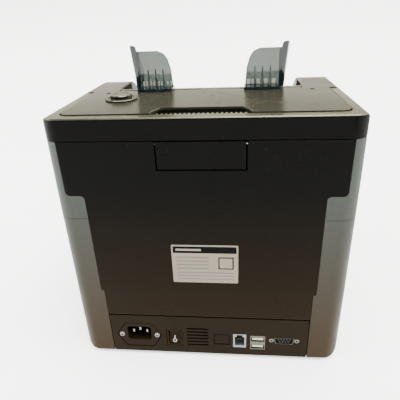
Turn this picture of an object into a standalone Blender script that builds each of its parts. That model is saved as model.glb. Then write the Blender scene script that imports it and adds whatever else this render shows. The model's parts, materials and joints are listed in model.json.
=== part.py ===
"""A desktop banknote counting machine, built as its separate pieces.

The operator stands at -Y and the rear door is at +Y; +X is the operator's right and +Z is up.
The origin is on the surface the feet stand on, under the middle of the body.
Lengths below are millimetres, and the mesh helpers turn them into metres.
"""

import math

import bmesh
import bpy
from mathutils import Matrix, Vector
from mathutils.geometry import convex_hull_2d

MM = 0.001
GAP = 0.3  # clearance between neighbouring pieces

# Body
HALF_DEPTH = 126.0
FOOT_HEIGHT = 4.0
WALL = 2.5
HALF_WIDTH_LOW = 131.0
HALF_WIDTH_TOP = 128.0
TOP_Z = 252.0
BOTTOM_RADIUS = 12.0
CORNER_RADIUS = 16.0
TOP_SIDE_RADIUS = 5.0
TOP_REAR_RADIUS = 3.0
SHOULDER_Y, SHOULDER_Z, SHOULDER_RADIUS = -34.0, 192.0, 60.0
FRONT_SLOPE = math.radians(11.0)
FRONT_SLOPE_END_Z = 46.0
PARTING_Z = 162.0
TRAY_TOP_Z = 11.0
COVER_Z = 232.7  # underside of the opening top unit
COVER_FRONT_Y = -45.0

# Rear door and connector panel
DOOR_INNER_Y = HALF_DEPTH - 2.7
DOOR_WING = 118.3
DOOR_HALF = 101.9
DOOR_HALF_LOW = 99.1
DOOR_STEP_Z = 184.2
DOOR_LOW_STEP_Z = 82.8
DOOR_NOTCH_RADIUS = 4.0
DOOR_WING_RADIUS = 3.5
PANEL_TOP_Z = 51.7
PANEL_HALF = 98.6
DOOR_HINGE = (123.8, 54.2)  # y, z
DOOR_EDGE_RADIUS = 2.2
FLAP_HALF = 36.0
FLAP_BOTTOM_Z = 208.5
FLAP_GAP = 1.2
FLAP_HINGE = (121.6, 229.2)
LABEL_HALF_WIDTH = 30.2
LABEL_Z = (94.8, 136.1)

# Top unit
PLATE_THICKNESS = 1.8
PLATE_HALF = 116.8
PLATE_REAR_Y = 114.6
PLATE_CORNER_RADIUS = 8.0
RIM_FRONT_Y = 21.0
RIM_DROP = 0.7  # the rim's top lies this far below the plate
RIM_SEAM = 1.3
HOPPER_HALF = 94.5
HOPPER_REAR_Y = 5.0
CHANNEL_HALF = 91.7
CHANNEL_Y = 13.0
HANDLE_HALF_REAR = 40.8
HANDLE_HALF_FRONT = 34.6
HANDLE_FRONT_Y = 95.6
GRIP_TEETH = 20
COVER_HINGE = (-37.0, 244.0)
COVER_EDGE_RADIUS = TOP_Z - COVER_HINGE[1]
KNOB = (78.4, 59.0)
KNOB_RADIUS = 15.0
KNOB_CAP_RADIUS = 10.2

# Note guides
GUIDE_INNER = 35.2
GUIDE_OUTER = 75.0
GUIDE_FLARE = 4.0
GUIDE_TOP_Z = 289.0
GUIDE_TAB_Z = 294.3
GUIDE_FRONT_Y = -24.0
PINION_TIP_RADIUS = 4.5
RACK_Z = (240.0, 244.5)

# Shafts, as (y, z)
PICKUP = (-20.0, 192.0)
FEED = (14.0, 186.0)
TRANSPORT = (48.0, 130.0)
MOTOR = (20.0, 44.0)
STACKER = (-24.0, 62.0)
RETARD = (24.0, 214.0)
RETARD_PIVOT = (40.0, 224.0)
SHAFT_RADIUS = 3.0
BELT_X = (-112.5, -106.0)
GEAR_X = (-119.0, -114.5)
PULLEY_RADII = {"pickup": 10.0, "feed": 11.0, "transport": 12.0, "motor": 9.0}
PICKUP_RADIUS, FEED_RADIUS, TRANSPORT_RADIUS, RETARD_RADIUS = 15.0, 16.0, 14.0, 12.5
FIN_RADIUS, FIN_COUNT, SLEEVE_RADIUS = 36.0, 8, 6.0
STACKER_GEAR_RADIUS, MOTOR_PINION_RADIUS = 34.2, 12.7

# Front
FACE_HALF = 91.7
FACE_BOTTOM = (-106.0, 120.0)  # y, z of the face panel's lower outer edge
FACE_TOP = (-87.5, 212.0)
FACE_TILT = math.atan2(FACE_TOP[0] - FACE_BOTTOM[0], FACE_TOP[1] - FACE_BOTTOM[1])
FACE_HEIGHT = math.hypot(FACE_TOP[0] - FACE_BOTTOM[0], FACE_TOP[1] - FACE_BOTTOM[1])
WINDOW_X = (-66.0, 26.0)
WINDOW_Z = (36.0, 80.0)
KEY_NAMES = {
    "start_key": (50.0, 68.0),
    "mode_key": (72.0, 68.0),
    "up_key": (50.0, 48.0),
    "down_key": (72.0, 48.0),
}
KEY_HALF = 7.5
POCKET_HALF = 88.0

# Finish: colour, roughness, metallic
FINISHES = {
    "black": ((0.022, 0.021, 0.019, 1), 0.35, 0.0),
    "grey": ((0.17, 0.17, 0.16, 1), 0.38, 0.3),
    "champagne": ((0.34, 0.32, 0.26, 1), 0.2, 0.4),
    "rim": ((0.38, 0.37, 0.32, 1), 0.25, 0.4),
    "smoke": ((0.13, 0.17, 0.18, 1), 0.12, 0.0),
    "rubber": ((0.02, 0.02, 0.02, 1), 0.8, 0.0),
    "steel": ((0.55, 0.55, 0.53, 1), 0.35, 1.0),
    "zinc": ((0.6, 0.6, 0.57, 1), 0.45, 1.0),
    "nylon": ((0.7, 0.69, 0.64, 1), 0.5, 0.0),
    "label": ((0.72, 0.73, 0.72, 1), 0.4, 0.1),
    "glass": ((0.01, 0.015, 0.02, 1), 0.06, 0.0),
    "board": ((0.02, 0.16, 0.07, 1), 0.5, 0.0),
    "socket": ((0.5, 0.52, 0.54, 1), 0.4, 0.0),
}


# ---------------------------------------------------------------- outlines


def polar(centre, radius, degrees):
    angle = math.radians(degrees)
    return (centre[0] + radius * math.cos(angle), centre[1] + radius * math.sin(angle))


def arc(centre, radius, start, end, steps=5):
    """Points of an arc from one angle to another, in degrees."""
    return [polar(centre, radius, start + (end - start) * i / steps) for i in range(steps + 1)]


def circle(centre, radius, sides=24):
    return arc(centre, radius, 0, 360 * (1 - 1 / sides), sides - 1)


def mirrored(right_side):
    """A closed outline from its right half, listed bottom to top."""
    return right_side + [(-x, y) for x, y in reversed(right_side)]


def rounded_rectangle(x, y, radius, steps=4):
    corners = [(x[1], y[0], -90), (x[1], y[1], 0), (x[0], y[1], 90), (x[0], y[0], 180)]
    points = []
    for (cx, cy, angle), (sx, sy) in zip(corners, [(-1, 1), (-1, -1), (1, -1), (1, 1)]):
        points += arc((cx + sx * radius, cy + sy * radius), radius, angle, angle + 90, steps)
    return points


def toothed(centre, root, tip, teeth):
    """A gear outline with flat-topped teeth."""
    points = []
    for tooth in range(teeth):
        for radius, share in ((root, 0.0), (tip, 0.18), (tip, 0.42), (root, 0.6)):
            points.append(polar(centre, radius, 360 * (tooth + share) / teeth))
    return points


def rack_outline(sign):
    """A toothed bar beside the guide pinion, with its teeth towards the pinion."""
    pitch = 2.5
    near = PINION_TIP_RADIUS + 0.4
    points = [(sign * 62, CHANNEL_Y + sign * (near + 3.2)), (-sign * 20, CHANNEL_Y + sign * (near + 3.2))]
    for tooth in range(30):
        x = -20 + tooth * pitch
        for along, height in ((0.1, 0.9), (0.5, 0.0), (1.3, 0.0), (1.7, 0.9)):
            points.append((sign * (x + along), CHANNEL_Y + sign * (near + height)))
    points.append((sign * 62, CHANNEL_Y + sign * (near + 0.9)))
    return points


def finned(centre, hub, tip, fins):
    """A wheel outline with thin fins that lean back as they go out."""
    points = []
    for fin in range(fins):
        fin_points = ((hub, 0.0), (0.6 * tip, -6.0), (tip, -16.0), (tip, -13.6), (0.6 * tip, -2.0))
        points += [polar(centre, radius, 360 * fin / fins + lean) for radius, lean in fin_points]
        points.append(polar(centre, hub, 360 * fin / fins + 8.0))
    return points


def belt_loop(pulleys, offset):
    """The outline of a belt stretched round pulleys given as (y, z, radius)."""
    points = [p for y, z, radius in pulleys for p in circle((y, z), radius + offset, 32)]
    return [points[i] for i in convex_hull_2d([Vector(p) for p in points])]


def shoulder_outline(inset=0.0):
    """The machine's side view: flat top, rounded shoulder, sloping front."""
    radius = SHOULDER_RADIUS - inset
    centre = (SHOULDER_Y, SHOULDER_Z)
    slope_degrees = math.degrees(FRONT_SLOPE)
    shoulder = arc(centre, radius, 180 - slope_degrees, 90, 12)
    top_y, top_z = shoulder[0]
    low_z = FRONT_SLOPE_END_Z
    low_y = top_y - (top_z - low_z) * math.tan(FRONT_SLOPE)
    front = -HALF_DEPTH + inset
    toe = [(front + 6.0, FOOT_HEIGHT + inset), (front, FOOT_HEIGHT + 6.0), (front, 36.0)]
    edge = (HALF_DEPTH - TOP_REAR_RADIUS, TOP_Z - TOP_REAR_RADIUS)
    rear = arc(edge, TOP_REAR_RADIUS - inset, 90, 0, 4) + [(HALF_DEPTH - inset, FOOT_HEIGHT + inset)]
    return toe + [(max(low_y, front + 0.4), low_z)] + shoulder + rear


def width_outline(inset=0.0):
    """The machine's rear view: a slight taper upwards, with rounded edges."""
    radius = BOTTOM_RADIUS - inset
    low = FOOT_HEIGHT + inset
    half = HALF_WIDTH_LOW - inset
    bottom_edge = arc((half - radius, low + radius), radius, -90, 0, 6)
    top_edge = arc((HALF_WIDTH_TOP - TOP_SIDE_RADIUS, TOP_Z - TOP_SIDE_RADIUS), TOP_SIDE_RADIUS - inset, 0, 90, 5)
    return mirrored(bottom_edge + [(half, 50.0)] + top_edge)


# ---------------------------------------------------------------- meshes


def prism(axis, outline, start, end):
    """An outline pushed along an axis. It is (y, z) for X, (x, z) for Y and (x, y) for Z."""
    place = {
        "X": lambda p, t: (t, p[0], p[1]),
        "Y": lambda p, t: (p[0], t, p[1]),
        "Z": lambda p, t: (p[0], p[1], t),
    }[axis]
    bm = bmesh.new()
    rings = [[bm.verts.new(Vector(place(p, t)) * MM) for p in outline] for t in (start, end)]
    bm.faces.new(rings[0])
    bm.faces.new(rings[1])
    count = len(outline)
    for i in range(count):
        j = (i + 1) % count
        bm.faces.new((rings[0][i], rings[0][j], rings[1][j], rings[1][i]))
    bmesh.ops.recalc_face_normals(bm, faces=bm.faces)
    return bm


def block(x, y, z):
    return prism("Z", [(x[0], y[0]), (x[1], y[0]), (x[1], y[1]), (x[0], y[1])], *z)


def rod(axis, centre, radius, ends, sides=16):
    return prism(axis, circle(centre, radius, sides), *ends)


def turned(axis, centre, profile, sides=20):
    """A turned piece from (distance along the axis, radius) steps, closed flat at both ends."""
    place = {
        "X": lambda t, a, b: (t, centre[0] + a, centre[1] + b),
        "Z": lambda t, a, b: (centre[0] + a, centre[1] + b, t),
    }[axis]
    bm = bmesh.new()
    rings = []
    for t, radius in profile:
        turns = [2 * math.pi * i / sides for i in range(sides)]
        points = [place(t, radius * math.cos(a), radius * math.sin(a)) for a in turns]
        rings.append([bm.verts.new(Vector(p) * MM) for p in points])
    bm.faces.new(rings[0])
    bm.faces.new(rings[-1])
    for low, high in zip(rings, rings[1:]):
        for i in range(sides):
            j = (i + 1) % sides
            bm.faces.new((low[i], low[j], high[j], high[i]))
    bmesh.ops.recalc_face_normals(bm, faces=bm.faces)
    return bm


def lofted(bottom, top, z):
    """A piece whose outline changes evenly from one height to another."""
    bm = bmesh.new()
    low = [bm.verts.new(Vector((px, py, z[0])) * MM) for px, py in bottom]
    high = [bm.verts.new(Vector((px, py, z[1])) * MM) for px, py in top]
    bm.faces.new(low)
    bm.faces.new(high)
    for i in range(len(low)):
        j = (i + 1) % len(low)
        bm.faces.new((low[i], low[j], high[j], high[i]))
    bmesh.ops.triangulate(bm, faces=[f for f in bm.faces if len(f.verts) == 4])
    bmesh.ops.recalc_face_normals(bm, faces=bm.faces)
    return bm


def on_face(bm):
    """Moves a shape modelled on an upright face at y = 0, z = 0 onto the sloping front face."""
    place = Matrix.Translation(Vector((0, FACE_BOTTOM[0], FACE_BOTTOM[1])) * MM)
    bm.transform(place @ Matrix.Rotation(-FACE_TILT, 4, "X"))
    return bm


# ---------------------------------------------------------------- objects


def material_for(name, finish):
    colour, roughness, metallic = FINISHES[finish]
    material = bpy.data.materials.new(name + "_finish")
    material.use_nodes = True
    shader = material.node_tree.nodes["Principled BSDF"]
    shader.inputs["Base Color"].default_value = colour
    shader.inputs["Roughness"].default_value = roughness
    shader.inputs["Metallic"].default_value = metallic
    material.diffuse_color = colour
    return material


def new_object(name, bm, pivot=(0, 0, 0)):
    mesh = bpy.data.meshes.new(name)
    bmesh.ops.translate(bm, vec=-Vector(pivot) * MM, verts=bm.verts)
    bm.to_mesh(mesh)
    bm.free()
    obj = bpy.data.objects.new(name, mesh)
    obj.location = Vector(pivot) * MM
    bpy.context.scene.collection.objects.link(obj)
    return obj


def helper(bm, name="helper"):
    """A shape that only cuts or joins, and isn't part of the object."""
    obj = new_object(name, bm)
    obj.hide_render = True
    obj.display_type = "WIRE"
    return obj


def boolean(obj, other, operation):
    step = obj.modifiers.new(operation.lower(), "BOOLEAN")
    step.operation = operation
    step.object = other
    step.solver = "EXACT"


def piece(name, finish, bm, joins=(), cuts=(), within=(), pivot=(0, 0, 0), smooth=False):
    """One piece of the machine: a shape, what is joined to it, what bounds it and what is cut from it."""
    obj = new_object(name, bm, pivot)
    obj.data.materials.append(material_for(name, finish))
    for form in within:
        boolean(obj, form, "INTERSECT")
    for shape in joins:
        boolean(obj, shape if isinstance(shape, bpy.types.Object) else helper(shape), "UNION")
    for shape in cuts:
        boolean(obj, shape if isinstance(shape, bpy.types.Object) else helper(shape), "DIFFERENCE")
    if smooth:
        obj.data.shade_smooth()
        obj.data.set_sharp_from_angle(angle=math.radians(35))
    return obj


def both_sides(build):
    """Calls build(side name, sign) for the operator's left (-X) and right (+X)."""
    for side, sign in (("left", -1), ("right", 1)):
        build(side, sign)


def span(sign, near, far):
    """An x range on one side, in rising order."""
    return tuple(sorted((sign * near, sign * far)))


# ---------------------------------------------------------------- body


def body_form(inset, name):
    """The whole body as one closed form, which the shells are cut from."""
    reach = HALF_WIDTH_LOW + 10
    plan = rounded_rectangle(
        (-HALF_WIDTH_LOW + inset, HALF_WIDTH_LOW - inset),
        (-HALF_DEPTH + inset, HALF_DEPTH - inset),
        CORNER_RADIUS - inset,
        6,
    )
    form = helper(prism("Y", width_outline(inset), -reach, reach), name)
    boolean(form, helper(prism("X", shoulder_outline(inset), -reach, reach)), "INTERSECT")
    boolean(form, helper(prism("Z", plan, 0, TOP_Z + 10)), "INTERSECT")
    return form


def build_base():
    half_x = HALF_WIDTH_LOW - BOTTOM_RADIUS - 2.0
    rear = HALF_DEPTH - WALL - GAP
    front = -HALF_DEPTH + 9.0
    inside = half_x - 2.2
    toe = [(-HALF_DEPTH, 10.0), (-HALF_DEPTH, TRAY_TOP_Z), (front + 1, TRAY_TOP_Z)]
    toe += [(front + 1, FOOT_HEIGHT), (-HALF_DEPTH + 6.0, FOOT_HEIGHT)]
    piece(
        "base_tray",
        "black",
        block((-half_x, half_x), (front, rear), (FOOT_HEIGHT, TRAY_TOP_Z)),
        joins=[prism("X", toe, -FACE_HALF, FACE_HALF)],
        cuts=[block((-inside, inside), (front + 2.2, rear - 2.2), (FOOT_HEIGHT + WALL, 20.0))],
    )
    for end, y in (("front", -98.0), ("rear", 98.0)):
        for side, x in (("left", -100.0), ("right", 100.0)):
            profile = [(0.0, 8.0), (1.0, 9.0), (FOOT_HEIGHT - GAP, 9.6)]
            piece(f"foot_{end}_{side}", "rubber", turned("Z", (x, y), profile), smooth=True)


def build_side_panels(outer, inner):
    """Grey side shells that wrap round the rear corners and the front cheeks."""
    reach = HALF_WIDTH_LOW + 5
    doorway = helper(prism("Y", door_outline((0, COVER_Z + 10), GAP), 100, 140), "doorway")

    def build(side, sign):
        x = span(sign, FACE_HALF + GAP, reach)
        boss = block(span(sign, 99.8, 108.0), (119.5, 124.6), (49.0, 59.5))
        bore = rod("X", DOOR_HINGE, 1.4, span(sign, 90, 106.0), 12)
        floor = block(span(sign, 0, 118.0), (-140, HALF_DEPTH - WALL), (0, 8.0))
        piece(
            f"{side}_lower_side_panel",
            "grey",
            block(x, (-140, 140), (0, PARTING_Z - GAP / 2)),
            within=[outer],
            cuts=[inner, doorway, floor],
        )
        lower = bpy.data.objects[f"{side}_lower_side_panel"]
        boolean(lower, helper(boss), "UNION")
        boolean(lower, helper(bore), "DIFFERENCE")
        opening = block(span(sign, 0, reach), (COVER_FRONT_Y - 0.4, 140), (COVER_Z - GAP, 260))
        hopper = block(span(sign, 0, HOPPER_HALF + WALL + GAP), (-90.5, 140), (212.5, 260))
        piece(
            f"{side}_upper_side_panel",
            "grey",
            block(x, (-140, 140), (PARTING_Z + GAP / 2, 260)),
            within=[outer],
            cuts=[inner, doorway, opening, hopper],
        )

    both_sides(build)


def build_connector_panel():
    """The flat panel under the door, with its sockets set flush in it."""
    y = (HALF_DEPTH - WALL, HALF_DEPTH)
    deep = (HALF_DEPTH - 10, HALF_DEPTH + 5)
    inlet_x, inlet_z = 70.3, 26.3
    flange = [(-23, 0), (-14, 15.2), (14, 15.2), (23, 0), (14, -15.2), (-14, -15.2)]

    def hexagon(grow):
        return [(inlet_x + px * (23 + grow) / 23, inlet_z + pz * (15.2 + grow) / 15.2) for px, pz in flange]

    slots = [block((-0.4, 21.3), deep, (z, z + 1.8)) for z in (14.6 + 4.24 * i for i in range(6))]
    knockout = block((-22.2, -5.8), (HALF_DEPTH - 1.2, HALF_DEPTH + 5), (16.8, 30.8))
    serial_opening = [(-84.4, 19.8), (-86.0, 28.6), (-66.0, 28.6), (-67.6, 19.8)]
    jack_screws = [(-63.5, 24.4), (-88.5, 24.4)]
    piece(
        "rear_connector_panel",
        "black",
        block((-PANEL_HALF, PANEL_HALF), y, (FOOT_HEIGHT, PANEL_TOP_Z)),
        cuts=[
            prism("Y", hexagon(0.4), *deep),
            block((26.1, 42.3), deep, (13.2, 35.2)),
            knockout,
            block((-38.9, -24.9), deep, (13.2, 31.6)),
            block((-57.9, -42.1), deep, (11.4, 30.3)),
            prism("Y", serial_opening, *deep),
            *[rod("Y", screw, 2.9, deep, 20) for screw in jack_screws],
            *slots,
        ],
    )
    well = rounded_rectangle((inlet_x - 12.2, inlet_x + 12.2), (19.6, 36.6), 3.0, 3)
    pin_places = [(inlet_x - 7, 27.4), (inlet_x, 30), (inlet_x + 7, 27.4)]
    pins = [block((x - 1, x + 1), (107, 121), (z - 2, z + 2)) for x, z in pin_places]
    piece(
        "power_inlet",
        "black",
        prism("Y", hexagon(0), HALF_DEPTH - 2.6, HALF_DEPTH - 0.3),
        joins=[block((inlet_x - 14, inlet_x + 14), (104, 124), (17.5, 38.5))],
        cuts=[prism("Y", well, 108, 140)],
    )
    inlet = bpy.data.objects["power_inlet"]
    for pin in pins:
        boolean(inlet, helper(pin), "UNION")

    piece(
        "switch_bezel",
        "black",
        block((26.5, 41.9), (108, HALF_DEPTH - 0.3), (13.6, 34.8)),
        cuts=[block((28.3, 40.1), (110, 140), (15.4, 33.0))],
    )
    rocker_y, rocker_z = 120.5, 24.2
    rocker = [(0.2, -8.3), (4.2, -8.2), (2.4, 0.0), (4.2, 8.2), (0.2, 8.3), (-3.0, 0.0)]
    tilt = math.radians(8)
    lean, rise = math.sin(tilt), math.cos(tilt)
    tilted = [(rocker_y + y * rise - z * lean, rocker_z + y * lean + z * rise) for y, z in rocker]
    piece("power_rocker", "black", prism("X", tilted, 28.7, 39.7), pivot=(34.2, rocker_y, rocker_z))

    piece(
        "phone_socket",
        "socket",
        block((-38.5, -25.3), (112, HALF_DEPTH - 0.3), (13.6, 31.2)),
        cuts=[
            block((-36.8, -27.0), (114, 140), (16.0, 27.6)),
            block((-34.8, -29.0), (114, 140), (27.0, 30.2)),
        ],
    )
    piece(
        "usb_socket",
        "zinc",
        block((-57.5, -42.5), (110, HALF_DEPTH - 0.3), (11.8, 29.9)),
        cuts=[
            block((-56.6, -43.4), (112, 140), (12.7, 18.1)),
            block((-56.6, -43.4), (112, 140), (22.2, 27.6)),
        ],
    )
    usb = bpy.data.objects["usb_socket"]
    for low in (14.6, 24.1):
        boolean(usb, helper(block((-55.0, -45.0), (111, 124), (low, low + 1.7))), "UNION")
    shell = [(-83.9, 20.4), (-85.4, 28.0), (-66.6, 28.0), (-68.1, 20.4)]
    piece(
        "serial_socket",
        "zinc",
        block((-92.0, -60.0), (120.5, 122.6), (19.0, 29.8)),
        joins=[
            prism("Y", shell, 122.0, HALF_DEPTH - 0.4),
            *[rod("Y", screw, 2.4, (122.0, HALF_DEPTH), 6) for screw in jack_screws],
        ],
    )


# ---------------------------------------------------------------- rear door


def door_outline(z, grow=0.0):
    """The door seen from the rear: narrow below, with wings above that hook over the side panels."""
    low_z = DOOR_LOW_STEP_Z + GAP - grow
    notch = (DOOR_HALF + DOOR_NOTCH_RADIUS, DOOR_STEP_Z + GAP - DOOR_NOTCH_RADIUS)
    wing_tip = (DOOR_WING - DOOR_WING_RADIUS, DOOR_STEP_Z + GAP + DOOR_WING_RADIUS)
    right = [
        (DOOR_HALF_LOW + grow, z[0]),
        (DOOR_HALF_LOW + grow, low_z),
        (DOOR_HALF + grow, low_z),
        *arc(notch, DOOR_NOTCH_RADIUS - grow, 180, 90),
        *arc(wing_tip, DOOR_WING_RADIUS + grow, -90, 0),
        (DOOR_WING + grow, z[1]),
    ]
    return mirrored(right)


def build_door(outer):
    hinge_y, hinge_z = DOOR_HINGE
    edge = arc(DOOR_HINGE, DOOR_EDGE_RADIUS, -180, 0, 8)
    side_view = edge + [(HALF_DEPTH, 245), (DOOR_INNER_Y, 245)]
    side_view += [(DOOR_INNER_Y, hinge_z + 6), (hinge_y - DOOR_EDGE_RADIUS, hinge_z + 3)]
    form = helper(prism("X", side_view, -140, 140), "door_form")
    flange_y = (110.0, DOOR_INNER_Y + 0.5)
    ears = [block(span(s, 37.4, 40.4), (118.5, DOOR_INNER_Y + 0.5), (224.5, 231.8)) for s in (-1, 1)]
    opening = FLAP_HALF + FLAP_GAP
    cuts = [block((-opening, opening), (100, 140), (FLAP_BOTTOM_Z - FLAP_GAP, 240))]
    cuts += [rod("X", DOOR_HINGE, 1.4, span(s, 86, 110), 12) for s in (-1, 1)]
    cuts += [rod("X", FLAP_HINGE, 1.25, (-39.0, 39.0), 12)]
    label_x = (-LABEL_HALF_WIDTH - 0.3, LABEL_HALF_WIDTH + 0.3)
    label_z = (LABEL_Z[0] - 0.3, LABEL_Z[1] + 0.3)
    cuts += [block(label_x, (HALF_DEPTH - 0.8, 140), label_z)]
    flanges = [block(span(s, 94.6, 96.6), flange_y, (62, 180)) for s in (-1, 1)]
    piece(
        "rear_door",
        "black",
        prism("Y", door_outline((PANEL_TOP_Z + GAP, COVER_Z - 0.4)), 118, 130),
        within=[form, outer],
        joins=ears + flanges,
        cuts=cuts,
        pivot=(0, hinge_y, hinge_z),
    )
    piece(
        "rating_label",
        "label",
        block((-LABEL_HALF_WIDTH, LABEL_HALF_WIDTH), (HALF_DEPTH - 0.5, HALF_DEPTH - 0.1), LABEL_Z),
        pivot=(0, hinge_y, hinge_z),
    )

    def build_pin(side, sign):
        pin = rod("X", DOOR_HINGE, 1.1, span(sign, 88, 105.5), 12)
        piece(f"door_hinge_pin_{side}", "steel", pin, smooth=True)

    both_sides(build_pin)
    flap_y, flap_z = FLAP_HINGE
    boss = block((-35.8, 35.8), (flap_y - 2.2, 124), (flap_z - 2.4, flap_z + 2.4))
    hook = [(119.6, 226.6), (116.6, 228), (116.6, 236.5), (118.4, 236.5), (118.8, 230.6), (121, 230.6)]
    piece(
        "door_latch_flap",
        "black",
        block((-FLAP_HALF, FLAP_HALF), (HALF_DEPTH - 2.8, HALF_DEPTH - 0.2), (FLAP_BOTTOM_Z, 231.8)),
        joins=[boss, prism("X", hook, -8, 8)],
        cuts=[rod("X", FLAP_HINGE, 1.25, (-50, 50), 12)],
        pivot=(0, flap_y, flap_z),
    )
    pin = rod("X", FLAP_HINGE, 0.95, (-38.7, 38.7), 12)
    piece("latch_pin", "steel", pin, pivot=(0, hinge_y, hinge_z), smooth=True)

    path = (12.0, 148.0)
    sheet = arc(path, 58.5, 62, -52, 14) + arc(path, 56.0, -52, 62, 14)
    web = [(69.0, 190), (DOOR_INNER_Y - GAP, 176), (DOOR_INNER_Y - GAP, 112)]
    web += [(68.0, 100), (66.0, 128), (69.8, 148)]
    window = block((-80, 80), (60, 90), (144, 152))
    piece(
        "door_note_guide",
        "black",
        prism("X", sheet, -87, 87),
        joins=[prism("X", web, *span(s, 84, 87)) for s in (-1, 1)],
        cuts=[window],
        pivot=(0, hinge_y, hinge_z),
    )
    sensor = block((-82, 82), (71.2, 84), (142, 154))
    piece("upper_image_sensor", "glass", sensor, pivot=(0, hinge_y, hinge_z))


# ---------------------------------------------------------------- top unit


def plate_outline():
    """The right half of the top plate, from the handle notch round to the hopper."""
    edge = HALF_WIDTH_TOP
    corner = (PLATE_HALF - PLATE_CORNER_RADIUS, PLATE_REAR_Y - PLATE_CORNER_RADIUS)
    right = [
        (0, HANDLE_FRONT_Y),
        (HANDLE_HALF_FRONT - 2, HANDLE_FRONT_Y),
        (HANDLE_HALF_FRONT, HANDLE_FRONT_Y + 2),
        (HANDLE_HALF_REAR - 1, PLATE_REAR_Y - 3),
        (HANDLE_HALF_REAR + 1, PLATE_REAR_Y),
        *arc(corner, PLATE_CORNER_RADIUS, 90, 0, 6),
        (PLATE_HALF, RIM_FRONT_Y),
        (edge, RIM_FRONT_Y),
        (edge, COVER_HINGE[0]),
        (HOPPER_HALF, COVER_HINGE[0]),
        (HOPPER_HALF, HOPPER_REAR_Y),
        (CHANNEL_HALF, HOPPER_REAR_Y),
        (CHANNEL_HALF, HOPPER_REAR_Y + 16),
        (0, HOPPER_REAR_Y + 16),
    ]
    return right


def build_top_plate(outer, pivot):
    under = TOP_Z - PLATE_THICKNESS
    right = plate_outline()
    outline = right + [(-x, y) for x, y in reversed(right) if x > 0]
    rolled = arc(COVER_HINGE, COVER_EDGE_RADIUS, 88, 180, 8)
    rolled += arc(COVER_HINGE, COVER_EDGE_RADIUS - PLATE_THICKNESS, 180, 88, 8)
    ends = [helper(prism("X", rolled, *span(s, HOPPER_HALF, HALF_WIDTH_TOP))) for s in (-1, 1)]
    for end in ends:
        boolean(end, outer, "INTERSECT")
    sheet = prism("Z", outline, under, TOP_Z)
    hole = rod("Z", KNOB, 5.5, (240, 260), 20)
    piece("top_plate", "champagne", sheet, within=[outer], joins=ends, cuts=[hole], pivot=pivot)


def build_rim(outer, pivot):
    inside = PLATE_HALF + RIM_SEAM
    rear = PLATE_REAR_Y + RIM_SEAM
    corner = (PLATE_HALF - PLATE_CORNER_RADIUS, PLATE_REAR_Y - PLATE_CORNER_RADIUS)
    hollow = mirrored([(inside, 0)] + arc(corner, PLATE_CORNER_RADIUS + RIM_SEAM, 0, 90, 6))
    pitch = 2 * (HANDLE_HALF_FRONT + 2.5) / GRIP_TEETH
    comb = [(HANDLE_HALF_FRONT + 2.5, rear + 0.3), (-HANDLE_HALF_FRONT - 2.5, rear + 0.3)]
    tooth_outline = ((0.2, 0.4), (1.0, 4.4), (pitch - 1.6, 4.4), (pitch - 0.8, 0.4))
    for tooth in range(GRIP_TEETH):
        x = -HANDLE_HALF_FRONT - 2.5 + pitch * tooth
        comb += [(x + along, rear - depth) for along, depth in tooth_outline]
    low = TOP_Z - PLATE_THICKNESS + 0.1
    piece(
        "top_rim",
        "rim",
        block((-140, 140), (RIM_FRONT_Y + GAP, 140), (low, TOP_Z - RIM_DROP)),
        within=[outer],
        joins=[prism("Z", comb, low - 0.2, TOP_Z - RIM_DROP - 0.1)],
        cuts=[prism("Z", hollow, 240, 260)],
        pivot=pivot,
    )
    rim = bpy.data.objects["top_rim"]
    hollow_cut = rim.modifiers[-1]
    rim.modifiers.move(list(rim.modifiers).index(hollow_cut), 1)


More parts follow.
